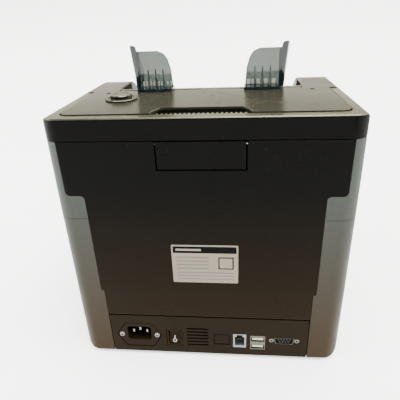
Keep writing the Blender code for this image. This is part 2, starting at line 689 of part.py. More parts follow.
def build_top_unit(outer, inner):
    hinge_y, hinge_z = COVER_HINGE
    pivot = (0, hinge_y, hinge_z)
    build_top_plate(outer, pivot)
    build_rim(outer, pivot)
    ledge = mirrored([(126, -32), (126, 113), (114, 124)])
    well = block((-112, 112), (-60, 109), (240, 260))
    ledge_cut = block((-43.6, 43.6), (90, 117.6), (230, 260))
    boss = rounded_rectangle((-41.5, -32), (239, 248.5), 2, 2)
    bosses = [prism("X", boss, *span(s, 112, 126)) for s in (-1, 1)]
    bores = [rod("X", COVER_HINGE, 2.1, span(s, 90, 124), 12) for s in (-1, 1)]
    inside = HALF_WIDTH_TOP - WALL - 0.1
    hollow_plan = rounded_rectangle((-inside, inside), (-60, HALF_DEPTH - WALL), CORNER_RADIUS - WALL, 6)
    hollow = prism("Z", hollow_plan, 240, 260)
    roll = arc(COVER_HINGE, COVER_EDGE_RADIUS - PLATE_THICKNESS - 2 * GAP, 90, 180, 8)
    roll += [(-60, hinge_z - GAP), (-60, 260), (hinge_y, 260)]
    heel = arc(COVER_HINGE, hinge_z - COVER_Z - GAP, 180, 270, 8)
    heel += [(hinge_y, COVER_Z - 5), (-60, COVER_Z - 5), (-60, hinge_z)]
    band = piece(
        "top_skirt",
        "black",
        block((-140, 140), (COVER_FRONT_Y, 140), (COVER_Z + GAP, TOP_Z - PLATE_THICKNESS - 0.2)),
        within=[outer],
        cuts=[inner, hollow, prism("X", roll, -140, 140), prism("X", heel, -140, 140)],
        pivot=pivot,
    )
    shelf = helper(prism("Z", ledge, 247.2, 249.7), "skirt_shelf")
    boolean(shelf, helper(well), "DIFFERENCE")
    boolean(shelf, helper(ledge_cut), "DIFFERENCE")
    boolean(band, shelf, "UNION")
    for boss in bosses:
        boolean(band, helper(boss), "UNION")
    for bore in bores:
        boolean(band, helper(bore), "DIFFERENCE")

    def build_pin(side, sign):
        pin = rod("X", COVER_HINGE, 1.75, span(sign, 98.5, 123.4), 12)
        piece(f"cover_hinge_pin_{side}", "steel", pin, smooth=True)

    both_sides(build_pin)
    piece(
        "handle_cup",
        "black",
        block((-43, 43), (92.5, 117.3), (237.5, 249.8)),
        cuts=[block((-41.2, 41.2), (94.2, 115.6), (239, 260))],
        pivot=pivot,
    )
    cheek = [(4.0, 207), (30, 207), (74, 220), (74, 248.6), (4.0, 248.6)]
    arm_wall = [(3.0, 212), (-38, 212), (-41, 216), (-43.5, 240)]
    arm_wall += [(-42, 246.5), (-39, 249.8), (3.0, 249.8)]
    piece(
        "hopper_back_wall",
        "black",
        block((-97, 97), (1.9, 4.4), (207, 249.8)),
        joins=[prism("X", cheek, *span(s, 88, 90.8)) for s in (-1, 1)]
        + [prism("X", arm_wall, *span(s, 94.6, 97)) for s in (-1, 1)],
        cuts=[rod("X", RETARD_PIVOT, 2.8, span(s, 85, 93), 12) for s in (-1, 1)],
        pivot=pivot,
    )
    slots = [block(span(s, 8, 88.5), (11.2, 15.4), (240, 260)) for s in (-1, 1)]
    piece(
        "guide_rail",
        "champagne",
        block((-CHANNEL_HALF + GAP, CHANNEL_HALF - GAP), (5.3, 20.7), (249.0, 251.3)),
        cuts=slots,
        pivot=pivot,
    )
    build_knob_and_retard()


def build_knob_and_retard():
    knob_x, knob_y = KNOB
    knob_profile = [(240.5, 4.9), (252.3, 4.9), (252.3, KNOB_RADIUS), (253.2, KNOB_RADIUS)]
    knob_profile += [(253.7, KNOB_RADIUS - 0.6), (253.7, KNOB_CAP_RADIUS)]
    knob_profile += [(256.3, KNOB_CAP_RADIUS), (256.7, KNOB_CAP_RADIUS - 0.5)]
    piece(
        "thickness_knob",
        "champagne",
        turned("Z", KNOB, knob_profile, 32),
        cuts=[rod("Z", KNOB, 2.9, (230, 250), 12)],
        pivot=(knob_x, knob_y, TOP_Z),
        smooth=True,
    )
    screw = rod("Z", KNOB, 2.6, (227.0, 248.0), 12)
    piece("adjusting_screw", "steel", screw, pivot=(knob_x, knob_y, 237), smooth=True)
    pivot_y, pivot_z = RETARD_PIVOT
    arm = [(pivot_y + 3, pivot_z + 3), (pivot_y + 3, pivot_z - 3), (RETARD[0] + 1, RETARD[1] - 5.5)]
    arm += [(RETARD[0] - 5.5, RETARD[1] - 2), (RETARD[0] - 3, RETARD[1] + 5)]
    lever = [(38, 222), (66, 222.5), (66, 225.5), (38, 226.5)]
    profile = [(-90.6, 2.4), (-87.5, 2.4), (-87.5, 3.5), (87.5, 3.5), (87.5, 2.4), (90.6, 2.4)]
    piece(
        "retard_bracket",
        "steel",
        turned("X", RETARD_PIVOT, profile, 12),
        joins=[*[prism("X", arm, *span(s, 50, 53.5)) for s in (-1, 1)], prism("X", lever, 73.5, 83.5)],
        cuts=[rod("X", RETARD, 2.8, (-60, 60), 12)],
        pivot=(0, pivot_y, pivot_z),
    )
    roller = [(-34, 2.5), (-34, RETARD_RADIUS), (-22, RETARD_RADIUS), (-22, 2.5)]
    profile = [(-57, 2.4), *roller, *[(-t, r) for t, r in reversed(roller)], (57, 2.4)]
    rollers = turned("X", RETARD, profile)
    piece("retard_rollers", "rubber", rollers, pivot=(0, pivot_y, pivot_z), smooth=True)


def build_note_guides():
    """Two smoke-clear guides. Each has a back sheet, a side wall, a foot and a rack under the plate."""
    base_z = TOP_Z + GAP
    back_y = (CHANNEL_Y - 1.2, CHANNEL_Y + 1.2)

    def build(side, sign):
        def mirror(points):
            return [(sign * px, py) for px, py in points]

        low = [
            (GUIDE_INNER, back_y[0]),
            (GUIDE_INNER, back_y[1]),
            (GUIDE_OUTER - 5, back_y[1]),
            (GUIDE_OUTER - 1.5, back_y[1] - 1.5),
            (GUIDE_OUTER, back_y[1] - 5),
            (GUIDE_OUTER, GUIDE_FRONT_Y),
            (GUIDE_OUTER - 2.4, GUIDE_FRONT_Y),
            (GUIDE_OUTER - 2.4, back_y[0] - 3.5),
            (GUIDE_OUTER - 5.5, back_y[0]),
        ]
        high = [(px + GUIDE_FLARE, py) for px, py in low]
        silhouette = [
            (GUIDE_INNER - 0.1, 240),
            (GUIDE_INNER + 2.2, 271),
            (GUIDE_INNER + 5.2, 281.5),
            (GUIDE_INNER + 9, 286.5),
            (GUIDE_INNER + 15, GUIDE_TOP_Z),
            (GUIDE_OUTER - 4, GUIDE_TOP_Z),
            (GUIDE_OUTER - 3, GUIDE_TAB_Z - 1),
            (GUIDE_OUTER - 1, GUIDE_TAB_Z),
            (GUIDE_OUTER + GUIDE_FLARE + 1, GUIDE_TAB_Z),
            (GUIDE_OUTER + GUIDE_FLARE + 1, 240),
        ]
        side_view = [(30, 240), (30, 300), (9, 300), (6.5, GUIDE_TOP_Z), (-8, 286), (-20, 276)]
        side_view += [(GUIDE_FRONT_Y, 266), (GUIDE_FRONT_Y, 262), (GUIDE_FRONT_Y + 8, 254)]
        side_view += [(0, base_z - 1), (0, 240)]
        front_form = helper(prism("Y", mirror(silhouette), -60, 60), f"{side}_guide_front_form")
        side_form = helper(prism("X", side_view, *span(sign, 20, 100)), f"{side}_guide_side_form")
        foot = block(span(sign, GUIDE_INNER, 70), (back_y[0] - 1.5, 29.0), (base_z, base_z + 2.8))
        stem = block(span(sign, 45, 62), (back_y[0] + 0.1, back_y[1] - 0.1), (RACK_Z[0], base_z + 2))
        rack = prism("Z", rack_outline(sign), *RACK_Z)
        near, far = span(sign, -1.0, PINION_TIP_RADIUS + 2.0)
        bridge = block(span(sign, 45, 62), (CHANNEL_Y + near, CHANNEL_Y + far), RACK_Z)
        rib = [(back_y[1] - 0.8, base_z), (back_y[1] + 3.2, base_z), (back_y[1] - 0.8, 276)]
        ribs = [prism("X", rib, *span(sign, x, x + 1.4)) for x in (45.0, 52.5, 60.0)]
        piece(
            f"{side}_note_guide",
            "smoke",
            lofted(mirror(low), mirror(high), (base_z, GUIDE_TAB_Z + 0.4)),
            within=[front_form, side_form],
            joins=[foot, stem, bridge, rack, *ribs],
            pivot=(sign * 55, CHANNEL_Y, TOP_Z),
        )

    both_sides(build)
    pinion = toothed((0, CHANNEL_Y), 3.4, PINION_TIP_RADIUS, 12)
    piece(
        "guide_pinion",
        "nylon",
        prism("Z", pinion, *RACK_Z),
        joins=[rod("Z", (0, CHANNEL_Y), 1.8, (RACK_Z[0] + 1, 248.6), 12)],
        pivot=(0, CHANNEL_Y, RACK_Z[0]),
    )


# ---------------------------------------------------------------- front


def build_hopper_tray():
    top_y, lip_y = 3.4, FACE_TOP[0] + 3.6
    floor = [(top_y, 200.6), (top_y, 203.0), (lip_y, 211.6), (lip_y, 209.0)]
    rear_y = COVER_FRONT_Y - 0.8
    shoulder = [p for p in shoulder_outline() if lip_y < p[0] < rear_y and p[1] > 210]
    side = [(lip_y, 208.4), (rear_y, 204.8), (rear_y, 250.3), *reversed(shoulder), (lip_y, 218)]
    wide = prism("X", [(lip_y, 209), (lip_y, 211.6), (rear_y, 207.9), (rear_y, 205.4)], -97, 97)
    piece(
        "hopper_tray",
        "black",
        prism("X", floor, -94, 94),
        joins=[wide] + [prism("X", side, *span(s, 94.6, 97)) for s in (-1, 1)],
        cuts=[block(span(s, 21.5, 38.5), (-37.5, -2.5), (190, 215)) for s in (-1, 1)],
    )


def build_front():
    slab = block((-FACE_HALF, FACE_HALF), (0, 3), (0, FACE_HEIGHT))
    window = block(WINDOW_X, (-5, 8), WINDOW_Z)
    reach = KEY_HALF + 0.5
    holes = [block((x - reach, x + reach), (-5, 8), (z - reach, z + reach)) for x, z in KEY_NAMES.values()]
    piece("front_panel", "black", on_face(slab), cuts=[on_face(hole) for hole in [window, *holes]])
    glass_x = (WINDOW_X[0] + 0.4, WINDOW_X[1] - 0.4)
    glass_z = (WINDOW_Z[0] + 0.4, WINDOW_Z[1] - 0.4)
    piece("display_window", "glass", on_face(block(glass_x, (0.4, 2.4), glass_z)))
    for name, (x, z) in KEY_NAMES.items():
        cap = on_face(block((x - KEY_HALF, x + KEY_HALF), (-1.2, 6), (z - KEY_HALF, z + KEY_HALF)))
        centre = Matrix.Rotation(-FACE_TILT, 4, "X") @ Vector((x, 0, z))
        pivot = (x, centre.y + FACE_BOTTOM[0], centre.z + FACE_BOTTOM[1])
        piece(name, "grey", cap, pivot=pivot)

    body = [(-37.5, 107), (-44.0, 20), (-121.6, 11.6), (-105.6, 118.4)]
    hollow = [(-40.5, 104.5), (-46.8, 23.2), (-140, 13.4), (-140, 117.5)]
    slots = [block(span(s, 31, 45), (-50, -30), (30, 96)) for s in (-1, 1)]
    piece(
        "stacker_pocket",
        "black",
        prism("X", body, -POCKET_HALF - WALL, POCKET_HALF + WALL),
        cuts=[prism("X", hollow, -POCKET_HALF, POCKET_HALF), *slots],
    )


# ---------------------------------------------------------------- mechanism


def build_frames():
    outline = [(-112, 12), (-112, 16), (-100, 60), (-92, 120), (-80, 196), (-41.5, 232), (-41.5, 247)]
    outline += [(-32, 247), (-20, 236), (92, 230), (92, 120), (102, 60), (102, 12)]
    holes = [(PICKUP, 3.5), (FEED, 3.5), (TRANSPORT, 3.5), (STACKER, 3.5), (MOTOR, 6.0), (COVER_HINGE, 2.05)]

    def build(side, sign):
        x = span(sign, 100, 102)
        cuts = [rod("X", centre, radius, span(sign, 98, 104)) for centre, radius in holes]
        piece(f"{side}_side_frame", "zinc", prism("X", outline, *x), cuts=cuts)

    both_sides(build)


def stepped_shaft(rollers, pulley=None, left=-105.0, right=104.0):
    """A shaft profile with rollers as (start, end, radius), and a pulley on its left end."""
    steps = []
    if pulley:
        rollers = [(BELT_X[0] + 0.5, BELT_X[1] - 0.5, pulley), *rollers]
        left = BELT_X[0] - 1.0
    for start, end, radius in rollers:
        steps += [(start, SHAFT_RADIUS), (start, radius), (end, radius), (end, SHAFT_RADIUS)]
    return [(left, SHAFT_RADIUS), *steps, (right, SHAFT_RADIUS)]


def build_shafts():
    feed_rollers = [(-40, -20, FEED_RADIUS), (20, 40, FEED_RADIUS)]
    pickup_rollers = [(-37, -23, PICKUP_RADIUS), (23, 37, PICKUP_RADIUS)]
    transport_rollers = [(-74, -60, TRANSPORT_RADIUS), (-40, -20, TRANSPORT_RADIUS)]
    transport_rollers += [(-end, -start, radius) for start, end, radius in reversed(transport_rollers)]
    shafts = {
        "pickup_roller_shaft": (PICKUP, stepped_shaft(pickup_rollers, PULLEY_RADII["pickup"])),
        "feed_roller_shaft": (FEED, stepped_shaft(feed_rollers, PULLEY_RADII["feed"])),
        "transport_roller_shaft": (TRANSPORT, stepped_shaft(transport_rollers, PULLEY_RADII["transport"])),
    }
    for name, (centre, profile) in shafts.items():
        piece(name, "rubber", turned("X", centre, profile), pivot=(0, *centre), smooth=True)

    gear = toothed(STACKER, STACKER_GEAR_RADIUS - 2.0, STACKER_GEAR_RADIUS, 40)
    piece(
        "stacker_shaft",
        "steel",
        rod("X", STACKER, SHAFT_RADIUS, (GEAR_X[0] - 1.0, 104.0)),
        joins=[prism("X", gear, *GEAR_X)],
        pivot=(0, *STACKER),
    )
    wheel = finned(STACKER, 10.0, FIN_RADIUS, FIN_COUNT)
    piece(
        "stacker_wheels",
        "rubber",
        turned("X", STACKER, [(-45, SLEEVE_RADIUS), (45, SLEEVE_RADIUS)], 16),
        joins=[prism("X", wheel, *span(s, 33.5, 42.5)) for s in (-1, 1)],
        cuts=[rod("X", STACKER, SHAFT_RADIUS + GAP, (-60, 60))],
        pivot=(0, *STACKER),
    )


def build_drive():
    can = [(-98.4, 8.0), (-96.4, 8.0), (-96.4, 20.0), (-46.0, 20.0), (-46.0, 7.0), (-42.0, 7.0)]
    piece(
        "main_motor",
        "zinc",
        turned("X", MOTOR, can, 24),
        cuts=[rod("X", MOTOR, 2.9, (-105, -60), 12)],
        smooth=True,
    )
    profile = [(GEAR_X[0] - 1, 2.5), (BELT_X[0] + 0.5, 2.5), (BELT_X[0] + 0.5, PULLEY_RADII["motor"])]
    profile += [(BELT_X[1] - 0.5, PULLEY_RADII["motor"]), (BELT_X[1] - 0.5, 2.5), (-62.0, 2.5)]
    pinion = toothed(MOTOR, MOTOR_PINION_RADIUS - 2.0, MOTOR_PINION_RADIUS, 15)
    piece(
        "motor_pulley",
        "nylon",
        turned("X", MOTOR, profile),
        joins=[prism("X", pinion, *GEAR_X)],
        pivot=(0, *MOTOR),
    )
    places = {"pickup": PICKUP, "feed": FEED, "transport": TRANSPORT, "motor": MOTOR}
    pulleys = [(*places[name], radius) for name, radius in PULLEY_RADII.items()]
    piece(
        "drive_belt",
        "rubber",
        prism("X", belt_loop(pulleys, GAP + 1.6), BELT_X[0] + 0.8, BELT_X[1] - 0.8),
        cuts=[prism("X", belt_loop(pulleys, GAP), -120, -100)],
    )


def build_electronics():
    chips = [block((104.6, 108.5), (y, y + 14), (z, z + 14)) for y, z in ((-40, 140), (0, 96), (36, 150))]
    piece("main_board", "board", block((108, 109.6), (-60, 70), (80, 180)), joins=chips)
    piece("power_supply", "zinc", block((10, 92), (58, 96), (9, 46)))
    piece("lower_image_sensor", "glass", block((-82, 82), (46, 62.2), (150, 163)))


# ---------------------------------------------------------------- assembly


def parent_to(names, parent):
    for name in names:
        child = bpy.data.objects[name]
        child.parent = bpy.data.objects[parent]
        child.matrix_parent_inverse = Matrix.Translation(-bpy.data.objects[parent].location)


def main():
    for obj in list(bpy.data.objects):
        bpy.data.objects.remove(obj)
    outer = body_form(0.0, "body_outer_form")
    inner = body_form(WALL, "body_inner_form")
    build_base()
    build_side_panels(outer, inner)
    build_connector_panel()
    build_door(outer)
    build_top_unit(outer, inner)
    build_note_guides()
    build_hopper_tray()
    build_front()
    build_frames()
    build_shafts()
    build_drive()
    build_electronics()
    door_riders = ["rating_label", "door_note_guide", "upper_image_sensor", "door_latch_flap", "latch_pin"]
    parent_to(door_riders, "rear_door")
    riders = ["top_skirt", "top_rim", "handle_cup", "hopper_back_wall", "guide_rail", "thickness_knob"]
    riders += ["adjusting_screw", "retard_bracket", "left_note_guide", "right_note_guide", "guide_pinion"]
    parent_to(riders, "top_plate")
    parent_to(["retard_rollers"], "retard_bracket")
    parent_to(["stacker_wheels"], "stacker_shaft")


main()
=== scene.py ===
"""The banknote counting machine's looks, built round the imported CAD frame.

Every piece rides on the CAD body that it belongs to. Lengths are metres, and MM turns millimetres
into metres. The operator stands at -Y, the rear door is at +Y and +Z is up.
"""

import json
import math

import bmesh
import bpy
from mathutils import Matrix, Vector


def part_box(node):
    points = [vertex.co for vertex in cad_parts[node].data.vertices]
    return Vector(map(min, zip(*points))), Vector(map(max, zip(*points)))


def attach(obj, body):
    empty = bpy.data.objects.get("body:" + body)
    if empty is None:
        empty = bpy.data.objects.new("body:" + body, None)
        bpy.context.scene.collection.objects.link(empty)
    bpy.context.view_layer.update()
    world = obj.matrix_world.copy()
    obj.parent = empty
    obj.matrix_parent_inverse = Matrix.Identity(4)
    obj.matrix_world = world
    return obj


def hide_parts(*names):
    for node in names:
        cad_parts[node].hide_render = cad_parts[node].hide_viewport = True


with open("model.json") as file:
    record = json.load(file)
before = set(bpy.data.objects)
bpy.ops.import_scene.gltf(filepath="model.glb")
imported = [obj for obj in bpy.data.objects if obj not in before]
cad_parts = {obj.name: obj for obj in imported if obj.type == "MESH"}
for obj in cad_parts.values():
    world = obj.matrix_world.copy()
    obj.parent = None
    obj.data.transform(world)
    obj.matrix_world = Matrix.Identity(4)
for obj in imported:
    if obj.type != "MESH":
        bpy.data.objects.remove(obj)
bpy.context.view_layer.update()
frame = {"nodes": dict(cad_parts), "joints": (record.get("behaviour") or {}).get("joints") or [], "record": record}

MM = 0.001
NODES = frame["nodes"]
BEHAVIOUR = frame["record"]["behaviour"]
BODY_OF = {node: body for body, members in BEHAVIOUR["bodies"].items() for node in members}
SLOT_OF = {part["node"]: part["material_slot"] for part in frame["record"]["subparts"]}
FLOOR_Z = 0.0
# Where a warm reflection is painted into the base colour, low on the machine's rear
PAINTED_REFLECTION_HEIGHTS = (0.02, 0.19)
PAINTED_REFLECTION_DEPTHS = (0.04, 0.11)  # the painted warm reflection lies on the rear of the machine and fades out forwards
TONE = 0.62  # the studio is lit until the floor is nearly white, and every colour is deepened to suit


# ---------------------------------------------------------------- camera

CAMERA_PLACE = (-0.0297, 0.4213, 0.3271)
CAMERA_RIGHT = (-0.9954, -0.0878, -0.0386)
CAMERA_FORWARD = (0.0958, -0.8923, -0.4413)

def build_camera():
    """The camera stands behind the machine, above it and a little to its left."""
    data = bpy.data.cameras.new("rear_view")
    data.lens = 35.5
    data.sensor_width = 36.0
    camera = bpy.data.objects.new("rear_view", data)
    bpy.context.scene.collection.objects.link(camera)
    right = Vector(CAMERA_RIGHT)
    forward = Vector(CAMERA_FORWARD).normalized()
    up = right.cross(forward).normalized()
    right = forward.cross(up)
    turn = Matrix((right, up, -forward)).transposed().to_4x4()
    camera.matrix_world = Matrix.Translation(CAMERA_PLACE) @ turn
    bpy.context.scene.camera = camera


# ---------------------------------------------------------------- materials


def shader_tree(name):
    material = bpy.data.materials.new(name)
    material.use_nodes = True
    tree = material.node_tree
    return material, tree, tree.nodes["Principled BSDF"]


def add(tree, kind, **values):
    """A shader node with its properties and its inputs' values set."""
    node = tree.nodes.new("ShaderNode" + kind)
    for key, value in values.items():
        if hasattr(node, key):
            setattr(node, key, value)
        else:
            node.inputs[key.replace("_", " ")].default_value = value
    return node


def texture_space(tree, stretch=(1, 1, 1)):
    """Object coordinates, stretched for grain that runs one way."""
    place = add(tree, "TexCoord")
    mapping = add(tree, "Mapping")
    mapping.inputs["Scale"].default_value = stretch
    tree.links.new(place.outputs["Object"], mapping.inputs["Vector"])
    return mapping.outputs["Vector"]


def noise(tree, space, scale, detail=3.0, roughness=0.55):
    node = add(tree, "TexNoise", Scale=scale, Detail=detail, Roughness=roughness)
    tree.links.new(space, node.inputs["Vector"])
    return node.outputs["Fac"]


def ranged(tree, value, low, high, start=0.3, end=0.7):
    """A value spread between low and high."""
    node = add(tree, "MapRange")
    for key, number in (("From Min", start), ("From Max", end), ("To Min", low), ("To Max", high)):
        node.inputs[key].default_value = number
    tree.links.new(value, node.inputs["Value"])
    return node.outputs["Result"]


def two_tone(tree, factor, dark, light):
    ramp = add(tree, "ValToRGB")
    ramp.color_ramp.elements[0].position = 0.3
    ramp.color_ramp.elements[1].position = 0.7
    ramp.color_ramp.elements[0].color = (*dark, 1)
    ramp.color_ramp.elements[1].color = (*light, 1)
    tree.links.new(factor, ramp.inputs["Fac"])
    return ramp.outputs["Color"]


def bumped(tree, shader, height, strength, distance=0.0002):
    bump = add(tree, "Bump")
    bump.inputs["Strength"].default_value = strength
    bump.inputs["Distance"].default_value = distance
    tree.links.new(height, bump.inputs["Height"])
    tree.links.new(bump.outputs["Normal"], shader.inputs["Normal"])


def set_sockets(shader, sockets):
    """Sets the shader's constant inputs, whose names have _ for each space."""
    for key, value in sockets.items():
        shader.inputs[key.replace("_", " ")].default_value = value


def scaled(colour, factor):
    return tuple(channel * factor * TONE for channel in colour)


def with_painted_reflection(tree, tone, painted_reflection, heights):
    """A tone that turns to a painted warm reflection colour low down on the machine's rear. Heights are in metres.
    """
    place = add(tree, "TexCoord")
    split = add(tree, "SeparateXYZ")
    tree.links.new(place.outputs["Object"], split.inputs["Vector"])
    low_down = ranged(tree, split.outputs["Z"], 1.0, 0.0, *heights)
    at_rear = ranged(tree, split.outputs["Y"], 0.0, 1.0, *PAINTED_REFLECTION_DEPTHS)
    both = add(tree, "Math", operation="MULTIPLY")
    tree.links.new(low_down, both.inputs[0])
    tree.links.new(at_rear, both.inputs[1])
    share = both.outputs["Value"]
    mix = add(tree, "Mix", data_type="RGBA")
    tree.links.new(share, mix.inputs[0])
    tree.links.new(tone, mix.inputs[6])
    mix.inputs[7].default_value = (*scaled(painted_reflection, 1), 1)
    return mix.outputs[2]


def moulded(name, colour, roughness, grain=1800.0, depth=0.25, spread=0.12, painted_reflection=None, **sockets):
    """A moulded plastic: a fine spark-eroded grain, faint smudges and uneven gloss."""
    material, tree, shader = shader_tree(name)
    space = texture_space(tree)
    smudge = noise(tree, space, 22.0, 4.0, 0.6)
    fine = noise(tree, space, grain, 2.0, 0.5)
    tone = two_tone(tree, smudge, scaled(colour, 1 - spread), scaled(colour, 1 + spread))
    # painted reflection: the base colour turns warm low on the rear
    if painted_reflection:
        tone = with_painted_reflection(tree, tone, painted_reflection, PAINTED_REFLECTION_HEIGHTS)
    tree.links.new(tone, shader.inputs["Base Color"])
    gloss = ranged(tree, smudge, roughness * 0.85, roughness * 1.18)
    tree.links.new(gloss, shader.inputs["Roughness"])
    bumped(tree, shader, fine, depth, 0.00006)
    set_sockets(shader, sockets)
    return material


def hairlined(
    name, colour, roughness, stretch, metallic, depth=0.35, lines=900.0, edge=None, **sockets
):
    """A satin finish with long fine lines, dulled here and there by handling."""
    material, tree, shader = shader_tree(name)
    hairs = noise(tree, texture_space(tree, stretch), lines, 3.0, 0.7)
    smudge = noise(tree, texture_space(tree), 14.0, 4.0, 0.6)
    tone = two_tone(tree, hairs, scaled(colour, 0.9), scaled(colour, 1.08))
    tree.links.new(tone, shader.inputs["Base Color"])
    gloss = ranged(tree, smudge, roughness * 0.8, roughness * 1.25)
    tree.links.new(gloss, shader.inputs["Roughness"])
    bumped(tree, shader, hairs, depth, 0.00003)
    shader.inputs["Metallic"].default_value = metallic
    if edge:
        shader.inputs["Specular Tint"].default_value = (*edge, 1)
    set_sockets(shader, sockets)
    return material


def flaked(name, colour, roughness, metallic, edge, painted_reflection=None, **sockets):
    """A metallic-effect moulding: tiny flakes, each a little lighter or darker than its neighbours."""
    material, tree, shader = shader_tree(name)
    space = texture_space(tree)
    cells = add(tree, "TexVoronoi", Scale=2600.0)
    tree.links.new(space, cells.inputs["Vector"])
    smudge = noise(tree, space, 16.0, 4.0, 0.6)
    fine = noise(tree, space, 1500.0, 2.0, 0.5)
    tone = two_tone(tree, cells.outputs["Color"], scaled(colour, 0.86), scaled(colour, 1.14))
    # painted reflection: the base colour turns warm low on the rear
    if painted_reflection:
        tone = with_painted_reflection(tree, tone, painted_reflection, PAINTED_REFLECTION_HEIGHTS)
    tree.links.new(tone, shader.inputs["Base Color"])
    tree.links.new(ranged(tree, smudge, roughness * 0.85, roughness * 1.2), shader.inputs["Roughness"])
    bumped(tree, shader, fine, 0.25, 0.00005)
    shader.inputs["Metallic"].default_value = metallic
    shader.inputs["Specular Tint"].default_value = (*edge, 1)
    set_sockets(shader, sockets)
    return material


def smoked(name, colour, roughness=0.04, **sockets):
    """Smoke-tinted clear plastic with faint flow lines and rubbed patches."""
    material, tree, shader = shader_tree(name)
    flow = noise(tree, texture_space(tree, (1, 1, 0.35)), 45.0, 3.0, 0.5)
    rubbed = noise(tree, texture_space(tree), 60.0, 5.0, 0.65)
    shader.inputs["Base Color"].default_value = (*colour, 1)
    shader.inputs["Transmission Weight"].default_value = 0.92
    shader.inputs["IOR"].default_value = 1.49
    tree.links.new(ranged(tree, rubbed, roughness * 0.5, roughness * 2.2), shader.inputs["Roughness"])
    bumped(tree, shader, flow, 0.12, 0.0006)
    set_sockets(shader, sockets)
    return material


def build_materials():
    return {
        "black_plastic": moulded(
            "black_plastic", (0.0016, 0.0015, 0.0011), 0.3,
            # a warm reflection painted low on the rear
            painted_reflection=(0.0135, 0.0075, 0.0016), Specular_IOR_Level=0.03,
        ),
        "panel_plastic": moulded(
            "panel_plastic", (0.0105, 0.0064, 0.0018), 0.38, Specular_IOR_Level=0.03
        ),
        "cup_plastic": moulded("cup_plastic", (0.02, 0.019, 0.015), 0.4, Specular_IOR_Level=0.1),
        "arm_plastic": moulded("arm_plastic", (0.034, 0.026, 0.019), 0.5, Specular_IOR_Level=0.0),
        "grey_plastic": flaked(
            "grey_plastic", (0.054, 0.06, 0.053), 0.4, 0.0, (0.6, 0.6, 0.5),
            # a warm reflection painted low on the rear
            painted_reflection=(0.034, 0.021, 0.01), Specular_IOR_Level=0.06,
        ),
        "champagne_plastic": hairlined(
            "champagne_plastic", (0.13, 0.125, 0.09), 0.24, (0.03, 1, 1), 0.8, lines=420.0,
            edge=(0.27, 0.265, 0.215), Specular_IOR_Level=0.15
        ),
        "rim_plastic": flaked(
            "rim_plastic", (0.12, 0.116, 0.085), 0.26, 0.8, (0.4, 0.395, 0.33), Specular_IOR_Level=0.2
        ),
        "smoke_plastic": smoked("smoke_plastic", (0.033, 0.041, 0.035)),
        # a darker copy of the smoke plastic: painted shade on the guides' walls, feet and crests
        "smoke_painted_shade": smoked(
            "smoke_painted_shade", (0.006, 0.011, 0.013), Specular_IOR_Level=0.3, Transmission_Weight=0.55
        ),
        # pale translucent plastic for the sensor lens strips, and for the painted glints on the guides
        "frosted_and_painted_glint": moulded("frosted_and_painted_glint", (0.6, 0.6, 0.52), 0.3, Transmission_Weight=0.3),
        # near-black, painted shade in the seam between the plate and its rim
        "painted_seam_shade": moulded("painted_seam_shade", (0.002, 0.002, 0.0015), 0.7, Specular_IOR_Level=0.0),
        "ink": moulded(
            "ink", (0.003, 0.003, 0.0025), 0.5, grain=900.0, depth=0.1, Specular_IOR_Level=0.02
        ),
        "grey_ink": moulded("grey_ink", (0.06, 0.058, 0.05), 0.5, grain=900.0, depth=0.1),
        "white_ink": moulded("white_ink", (0.62, 0.62, 0.6), 0.45, grain=900.0, depth=0.1),
        "nickel": hairlined("nickel", (0.26, 0.25, 0.22), 0.3, (1, 1, 0.3), 1.0),
        "gold_contact": hairlined("gold_contact", (0.75, 0.52, 0.2), 0.25, (1, 0.1, 1), 1.0),
        "cream_insulator": moulded("cream_insulator", (0.55, 0.52, 0.42), 0.4),
        "roller_rubber": moulded("roller_rubber", (0.03, 0.029, 0.028), 0.72, grain=900.0, depth=0.5),
        "foot_rubber": moulded("foot_rubber", (0.018, 0.018, 0.018), 0.8, grain=700.0, depth=0.5),
        "pin_steel": hairlined("pin_steel", (0.52, 0.52, 0.5), 0.3, (1, 0.05, 0.05), 1.0),
        "plated_steel": hairlined("plated_steel", (0.55, 0.55, 0.53), 0.38, (1, 1, 0.06), 1.0),
        "socket_metal": hairlined("socket_metal", (0.13, 0.124, 0.1), 0.38, (0.1, 1, 1), 1.0),
        "supply_case": hairlined("supply_case", (0.6, 0.61, 0.62), 0.35, (0.06, 1, 1), 1.0),
        "nylon": moulded("nylon", (0.62, 0.6, 0.54), 0.45, grain=600.0, Subsurface_Weight=0.1),
        "label_foil": moulded(
            "label_foil", (0.175, 0.142, 0.09), 0.42, grain=1200.0, depth=0.12, spread=0.05
        ),
        "display_glass": moulded(
            "display_glass", (0.004, 0.006, 0.007), 0.12, depth=0.02, Specular_IOR_Level=0.08
        ),
        "display_mark": moulded("display_mark", (0.1, 0.2, 0.19), 0.4, grain=700.0, depth=0.1),
        "key_plastic": moulded("key_plastic", (0.06, 0.062, 0.06), 0.4, Specular_IOR_Level=0.15),
        "circuit_board": moulded("circuit_board", (0.012, 0.12, 0.045), 0.35, grain=300.0),
        "socket_plastic": moulded("socket_plastic", (0.19, 0.2, 0.195), 0.38),
        "socket_dark": moulded("socket_dark", (0.03, 0.042, 0.048), 0.35),
    }


MATERIALS = build_materials()


# ---------------------------------------------------------------- pieces

ROUNDED_FROM = math.radians(32)  # edges at least this sharp are rounded
SMOOTH_UP_TO = math.radians(38)  # edges up to this sharp are shaded smooth

def welded(mesh):
    """A CAD node's mesh with its triangles joined into flat faces."""
    bm = bmesh.new()
    bm.from_mesh(mesh)
    bmesh.ops.remove_doubles(bm, verts=bm.verts, dist=0.000002)
    flat = math.radians(0.6)
    bmesh.ops.dissolve_limit(bm, angle_limit=flat, verts=bm.verts, edges=bm.edges)
    return bm


